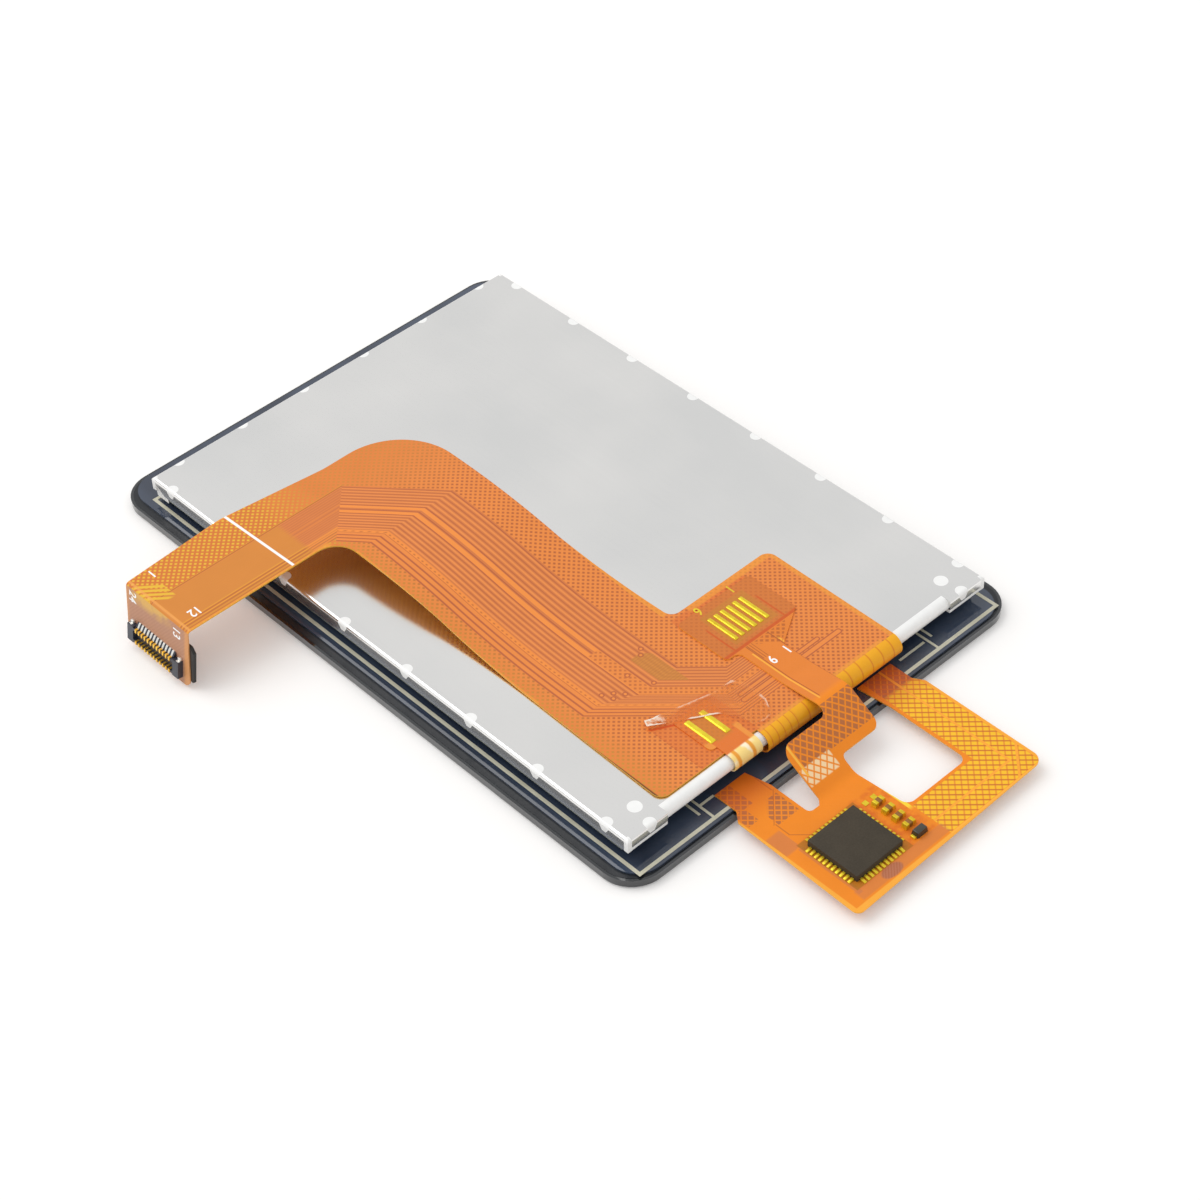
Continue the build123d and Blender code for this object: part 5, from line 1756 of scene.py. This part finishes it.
@dataclass
class TouchCircuit(SubAssembly):
    """Touch circuit with its chip, its leads and the row of small parts."""

    plate_top: float = 1.12
    upper_z: float = 1.2
    chip_x: float = -6.92
    chip_y: float = -40.20
    chip_half: float = 2.5
    chip_t: float = 0.62
    chip_round: float = 0.07
    lead_count: int = 11
    lead_pitch: float = 0.42
    lead_w: float = 0.25
    lead_reach: float = 0.52
    lead_t: float = 0.16
    lead_fall: float = 0.6
    lead_round: float = 0.03
    part_x: float = -2.60
    part_y: float = -38.60
    part_pitch: float = 1.013
    part_count: int = 4
    part_half_l: float = 0.45
    part_half_w: float = 0.25
    part_t: float = 0.45
    part_cap: float = 0.27
    body_step: float = 0.02
    body_round: float = 0.03
    solder: float = 0.14
    solder_lean: float = 0.8
    solder_round: float = 0.04
    diode_y: float = -42.72
    diode_half: Span = (0.575, 0.35)
    diode_t: float = 0.50
    diode_taper: Point = (0.88, 0.82, 1.0)
    diode_round: float = 0.04
    diode_lead_reach: float = 0.26
    diode_lead_half: float = 0.22
    diode_lead_t: float = 0.20
    diode_lead_round: float = 0.06

    def build(self) -> None:
        """Dresses the circuit and models what is soldered to it."""
        self.dress(TouchCircuitFinish().make(), "touch_flex")
        resin = PlainFinish(
            "moulded_resin", (70, 62, 50), (60, 53, 42), roughness=0.62, specular=0.25,
            grain_per_mm=7.0, grain_depth=0.006,
        ).make()
        shiny = PlainFinish(
            "shiny_resin", (64, 58, 46), (52, 46, 36), roughness=0.22, specular=0.7
        ).make()
        solder = PlainFinish(
            "gilded_solder", (242, 214, 52), (212, 176, 28), roughness=0.30, metallic=0.6,
            grain_per_mm=5.0,
        ).make()
        ceramic = PlainFinish(
            "fired_ceramic", (158, 104, 34), (130, 84, 26), roughness=0.35, grain_per_mm=6.0
        ).make()
        self.hand_over(self._chip(), resin, "chip_package", "touch_controller")
        self.hand_over(self._leads(), solder, "gold_plate", "controller_leads")
        self.hand_over(self._capacitors(), ceramic, "ceramic_body", "chip_capacitors")
        self.hand_over(self._ends(), solder, "tin_plate", "capacitor_ends")
        self.hand_over(self._diode(), shiny, "chip_package", "small_diode")
        self.dress(solder, "bare_pads")

    def _on_plate(self, name: str, x: Span, y: Span, height: float) -> Piece:
        """Adds a block that stands on the circuit's plate.

        Args:
            name: The piece's name.
            x: Its two ends across the object, in either order.
            y: Its two ends along the object, in either order.
            height: Its height.

        Returns:
            The new object.
        """
        low = (min(x), min(y), self.plate_top)
        high = (max(x), max(y), self.plate_top + height)
        return Bench.block(name, low, high)

    def _chip(self) -> Piece:
        """Models the square chip with its softened edges.

        Returns:
            The chip on its place.
        """
        half = self.chip_half
        spans = (self.chip_x - half, self.chip_x + half), (self.chip_y - half, self.chip_y + half)
        chip = self._on_plate("square_chip", *spans, self.chip_t)
        Bench.bevel(chip, self.chip_round, Bench.upper(self.upper_z, whole=False), segments=3)
        Bench.smooth(chip)
        return chip

    def _leads(self) -> Piece:
        """Models one sloping soldered lead, and copies it round the chip's four sides.

        Returns:
            All leads as one piece.
        """
        half = self.lead_w / 2
        tip = self.chip_half + self.lead_reach
        lead = Bench.block("lead", (self.chip_half, -half, 0.0), (tip, half, self.lead_t))
        limit = tip * MM - NEAR
        Bench.pick(lead, "VERT", lambda v: v.co.x > limit and v.co.z > NEAR)
        Bench.move((0.0, 0.0, -self.lead_fall * self.lead_t))
        Bench.bevel(lead, self.lead_round, Bench.upper(NEAR / MM, whole=False))
        first = -(self.lead_count - 1) / 2 * self.lead_pitch
        leads = []
        for side in range(4):
            for k in range(self.lead_count):
                twin = Bench.copy(lead, (0.0, first + k * self.lead_pitch, 0.0))
                twin.data.transform(Matrix.Rotation(side * math.pi / 2, 4, "Z"))
                leads.append(twin)
        bpy.data.objects.remove(lead)
        joined = Bench.join(leads, "soldered_leads")
        spot = Vector((self.chip_x, self.chip_y, self.plate_top)) * MM
        Bench.settle(joined, Matrix.Translation(spot))
        Bench.smooth(joined)
        return joined

    def _places(self) -> list[float]:
        """Places of the capacitors along the object."""
        return [self.part_y - k * self.part_pitch for k in range(self.part_count)]

    def _capacitors(self) -> Piece:
        """Models the ceramic bodies.

        Returns:
            All bodies as one piece.
        """
        reach = self.part_half_l - self.part_cap
        bodies = []
        for y in self._places():
            span = (y - self.part_half_w, y + self.part_half_w)
            ends = (self.part_x - reach, self.part_x + reach)
            body = self._on_plate("body", ends, span, self.part_t - self.body_step)
            Bench.bevel(body, self.body_round, Bench.upper(self.upper_z))
            bodies.append(body)
        joined = Bench.join(bodies, "capacitor_bodies")
        Bench.smooth(joined)
        return joined

    def _ends(self) -> Piece:
        """Models the metal ends with their sloping solder, and the dark part's lead.

        Returns:
            All of them as one piece.
        """
        ends = []
        base = self.upper_z * MM
        for y in self._places():
            for side in (-1, 1):
                inner = self.part_x + side * (self.part_half_l - self.part_cap)
                outer = self.part_x + side * (self.part_half_l + self.solder)
                span = (y - self.part_half_w, y + self.part_half_w)
                end = self._on_plate("end", (inner, outer), span, self.part_t)
                at = outer * MM
                Bench.pick(end, "VERT", lambda v, a=at: abs(v.co.x - a) < NEAR and v.co.z > base)
                Bench.move((-side * self.solder * self.solder_lean, 0.0, 0.0))
                Bench.bevel(end, self.solder_round, Bench.upper(self.upper_z), segments=3)
                ends.append(end)
        left = self.part_x - self.diode_half[0]
        ends_x = (left - self.diode_lead_reach, left)
        span = (self.diode_y - self.diode_lead_half, self.diode_y + self.diode_lead_half)
        lead = self._on_plate("diode_lead", ends_x, span, self.diode_lead_t)
        Bench.bevel(lead, self.diode_lead_round, Bench.upper(self.upper_z))
        ends.append(lead)
        joined = Bench.join(ends, "capacitor_caps")
        Bench.smooth(joined)
        return joined

    def _diode(self) -> Piece:
        """Models the dark two-lead part with its slanted moulded sides.

        Returns:
            The part on its place.
        """
        half_l, half_w = self.diode_half
        diode = self._on_plate(
            "dark_diode",
            (self.part_x - half_l, self.part_x + half_l),
            (self.diode_y - half_w, self.diode_y + half_w),
            self.diode_t,
        )
        Bench.pick(diode, "FACE", Bench.faces_up)
        bpy.ops.transform.resize(value=self.diode_taper)
        bpy.ops.object.mode_set(mode="OBJECT")
        Bench.bevel(diode, self.diode_round, Bench.upper(self.upper_z, whole=False))
        Bench.smooth(diode)
        return diode


@dataclass(frozen=True)
class StripRow:
    """Row of solder strips: its CAD node, their number and width, and the new piece's name."""

    node: str
    count: int
    width: float
    name: str


@dataclass
class SolderStrips(SubAssembly):
    """Domed strips of solder that join the smaller circuits to the main one."""

    dome: float = 0.05
    spread: float = 0.03
    crown_share: float = 0.28
    strip_round: float = 0.05
    top_margin: float = 0.001
    smooth_degrees: float = 60.0
    rows: tuple[StripRow, ...] = (
        StripRow("touch_joints", 6, 0.36, "touch_solder"),
        StripRow("led_joints", 2, 0.50, "light_solder"),
    )

    def build(self) -> None:
        """Models the strips over the places of their CAD nodes, a little spread at the sides."""
        solder = PlainFinish(
            "bright_solder", (247, 226, 54), (224, 190, 28), roughness=0.24, metallic=0.5,
            grain_per_mm=2.2, grain_depth=0.02,
        ).make()
        for row in self.rows:
            low, high = (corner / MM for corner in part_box(row.node))
            step = (high.x - low.x - row.width) / (row.count - 1)
            strips = []
            for k in range(row.count):
                x0 = low.x + k * step
                first = (x0 - self.spread, low.y, low.z)
                strips.append(self._strip(first, (x0 + row.width + self.spread, high.y, high.z)))
            joined = Bench.join(strips, row.name)
            Bench.smooth(joined, self.smooth_degrees)
            self.hand_over(joined, solder, "gold_plate", row.node)

    def _strip(self, low: Point, high: Point) -> Piece:
        """Models one strip as a long bead.

        Args:
            low: Lowest corner of its block.
            high: Highest corner.

        Returns:
            The strip.
        """
        strip = Bench.block("strip", low, high)
        Bench.pick(strip, "FACE", Bench.faces_up)
        bpy.ops.mesh.inset(thickness=(high[0] - low[0]) * self.crown_share * MM)
        Bench.move((0.0, 0.0, self.dome))
        top = high[2] - self.top_margin
        Bench.bevel(strip, self.strip_round, Bench.upper(top, whole=False))
        return strip


@dataclass
class RetainingFilm(SubAssembly):
    """Torn piece of amber film over the ends of the light circuit's strips.

    The two lifts give where an end starts to rise and over what length.
    """

    start: Span = (-8.50, -23.40)
    level: float = 3.73
    thickness: float = 0.04
    cuts: int = 5
    lift: float = 0.16
    left_lift: Span = (-9.6, 1.4)
    right_lift: Span = (-3.2, 1.0)
    wave_height: float = 0.03
    wave_per_mm: Span = (3.1, 2.3)
    torn_width: float = 0.35
    smooth_degrees: float = 60.0
    torn: tuple[Span, ...] = (
        (-2.3, 1.5), (-1.6, 1.25), (-0.9, 1.2), (1.4, 0.55), (3.6, 0.0), (5.5, -0.1), (6.0, -0.9),
        (6.1, -2.2), (5.9, -3.5), (5.2, -4.8), (4.2, -4.9), (3.4, -4.6), (3.1, -3.2), (2.4, -2.0),
        (0.6, -0.9), (-1.1, 0.1), (-2.6, 0.9),
    )

    def build(self) -> None:
        """Models the film from a flat disc whose rim is drawn out to the torn outline."""
        Bench.clear()
        middle = self._middle()
        bpy.ops.mesh.primitive_circle_add(
            vertices=len(self.torn), radius=MM, fill_type="NGON",
            location=[middle[0] * MM, middle[1] * MM, self.level * MM],
        )
        film = bpy.context.object
        film.name = "torn_retaining_film"
        bpy.ops.object.transform_apply(location=True, rotation=True, scale=True)
        self._draw_out(film)
        Bench.pick(film, "FACE", lambda face: True)
        bpy.ops.mesh.quads_convert_to_tris()
        bpy.ops.mesh.subdivide(number_cuts=self.cuts)
        bpy.ops.object.mode_set(mode="OBJECT")
        self._crumple(film)
        solid = film.modifiers.new("thickness", "SOLIDIFY")
        solid.thickness = self.thickness * MM
        solid.offset = 1.0
        bpy.ops.object.modifier_apply(modifier=solid.name)
        Bench.smooth(film, self.smooth_degrees)
        self.hand_over(film, TornFilmFinish().make(), "amber_film", "retaining_tape")

    def _corners(self) -> list[Span]:
        """Corners of the outline."""
        return [(self.start[0] + dx, self.start[1] + dy) for dx, dy in self.torn]

    def _middle(self) -> Span:
        """Middle of the outline.

        Returns:
            Its x and y.
        """
        xs = [dx for dx, _ in self.torn]
        ys = [dy for _, dy in self.torn]
        return self.start[0] + sum(xs) / len(xs), self.start[1] + sum(ys) / len(ys)

    def _draw_out(self, film: Piece) -> None:
        """Moves each rim vertex of the disc to its corner of the torn outline.

        Args:
            film: The flat disc.
        """
        middle_x, middle_y = (part * MM for part in self._middle())
        places = [vertex.co.copy() for vertex in film.data.vertices]
        turns = [math.atan2(place.y - middle_y, place.x - middle_x) for place in places]
        rim = sorted(range(len(self.torn)), key=lambda k: turns[k])
        corners = self._corners()
        corners.reverse()
        # The first corner is the one that lies most to the left, where the angles begin
        lead = min(range(len(corners)), key=lambda k: corners[k][0])
        corners = corners[lead:] + corners[:lead]
        for index, (x, y) in zip(rim, corners):
            place = film.data.vertices[index].co.copy()
            Bench.pick(film, "VERT", lambda v, i=index: v.index == i)
            bpy.ops.transform.translate(value=(x * MM - place.x, y * MM - place.y, 0.0))
        bpy.ops.object.mode_set(mode="OBJECT")

    def _crumple(self, film: Piece) -> None:
        """Lifts the torn ends a little and marks how near each point is to the rim.

        Args:
            film: The film before it is given its thickness.
        """
        attribute = film.data.attributes.new("torn", "FLOAT", "POINT")
        corners = [Vector(corner) for corner in self._corners()]
        per_x, per_y = self.wave_per_mm
        for vertex in film.data.vertices:
            place = Vector((vertex.co.x / MM, vertex.co.y / MM))
            nearest = min(
                self._distance(place, corners[k - 1], corners[k]) for k in range(len(corners))
            )
            near = max(0.0, 1.0 - nearest / self.torn_width)
            attribute.data[vertex.index].value = near
            wave = math.sin(place.x * per_x) * math.sin(place.y * per_y + place.x)
            left = (self.left_lift[0] - place.x) / self.left_lift[1]
            right = (place.x - self.right_lift[0]) / self.right_lift[1]
            end = max(0.0, min(1.0, left)) + max(0.0, min(1.0, right))
            vertex.co.z += (self.lift * end + self.wave_height * wave + self.wave_height) * MM

    @staticmethod
    def _distance(place: Vector, first: Vector, second: Vector) -> float:
        """Distance from a point to a run of the outline.

        Args:
            place: The point.
            first: Start of the run.
            second: End of the run.

        Returns:
            The distance.
        """
        run = second - first
        share = max(0.0, min(1.0, (place - first).dot(run) / run.length_squared))
        return (place - first - run * share).length


def main() -> None:
    """Loads the frame, builds and dresses each sub-assembly, and sets up the studio."""
    logging.basicConfig(level=logging.INFO, format="%(name)s: %(message)s")
    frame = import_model()
    Studio().build()
    parts = (
        GlassFront, DisplayCell, LightSource, SteelTray, MainCircuit, BoardConnector,
        TouchCircuit, SolderStrips, RetainingFilm,
    )
    for part in parts:
        part(frame).build()


if __name__ == "__main__":
    main()
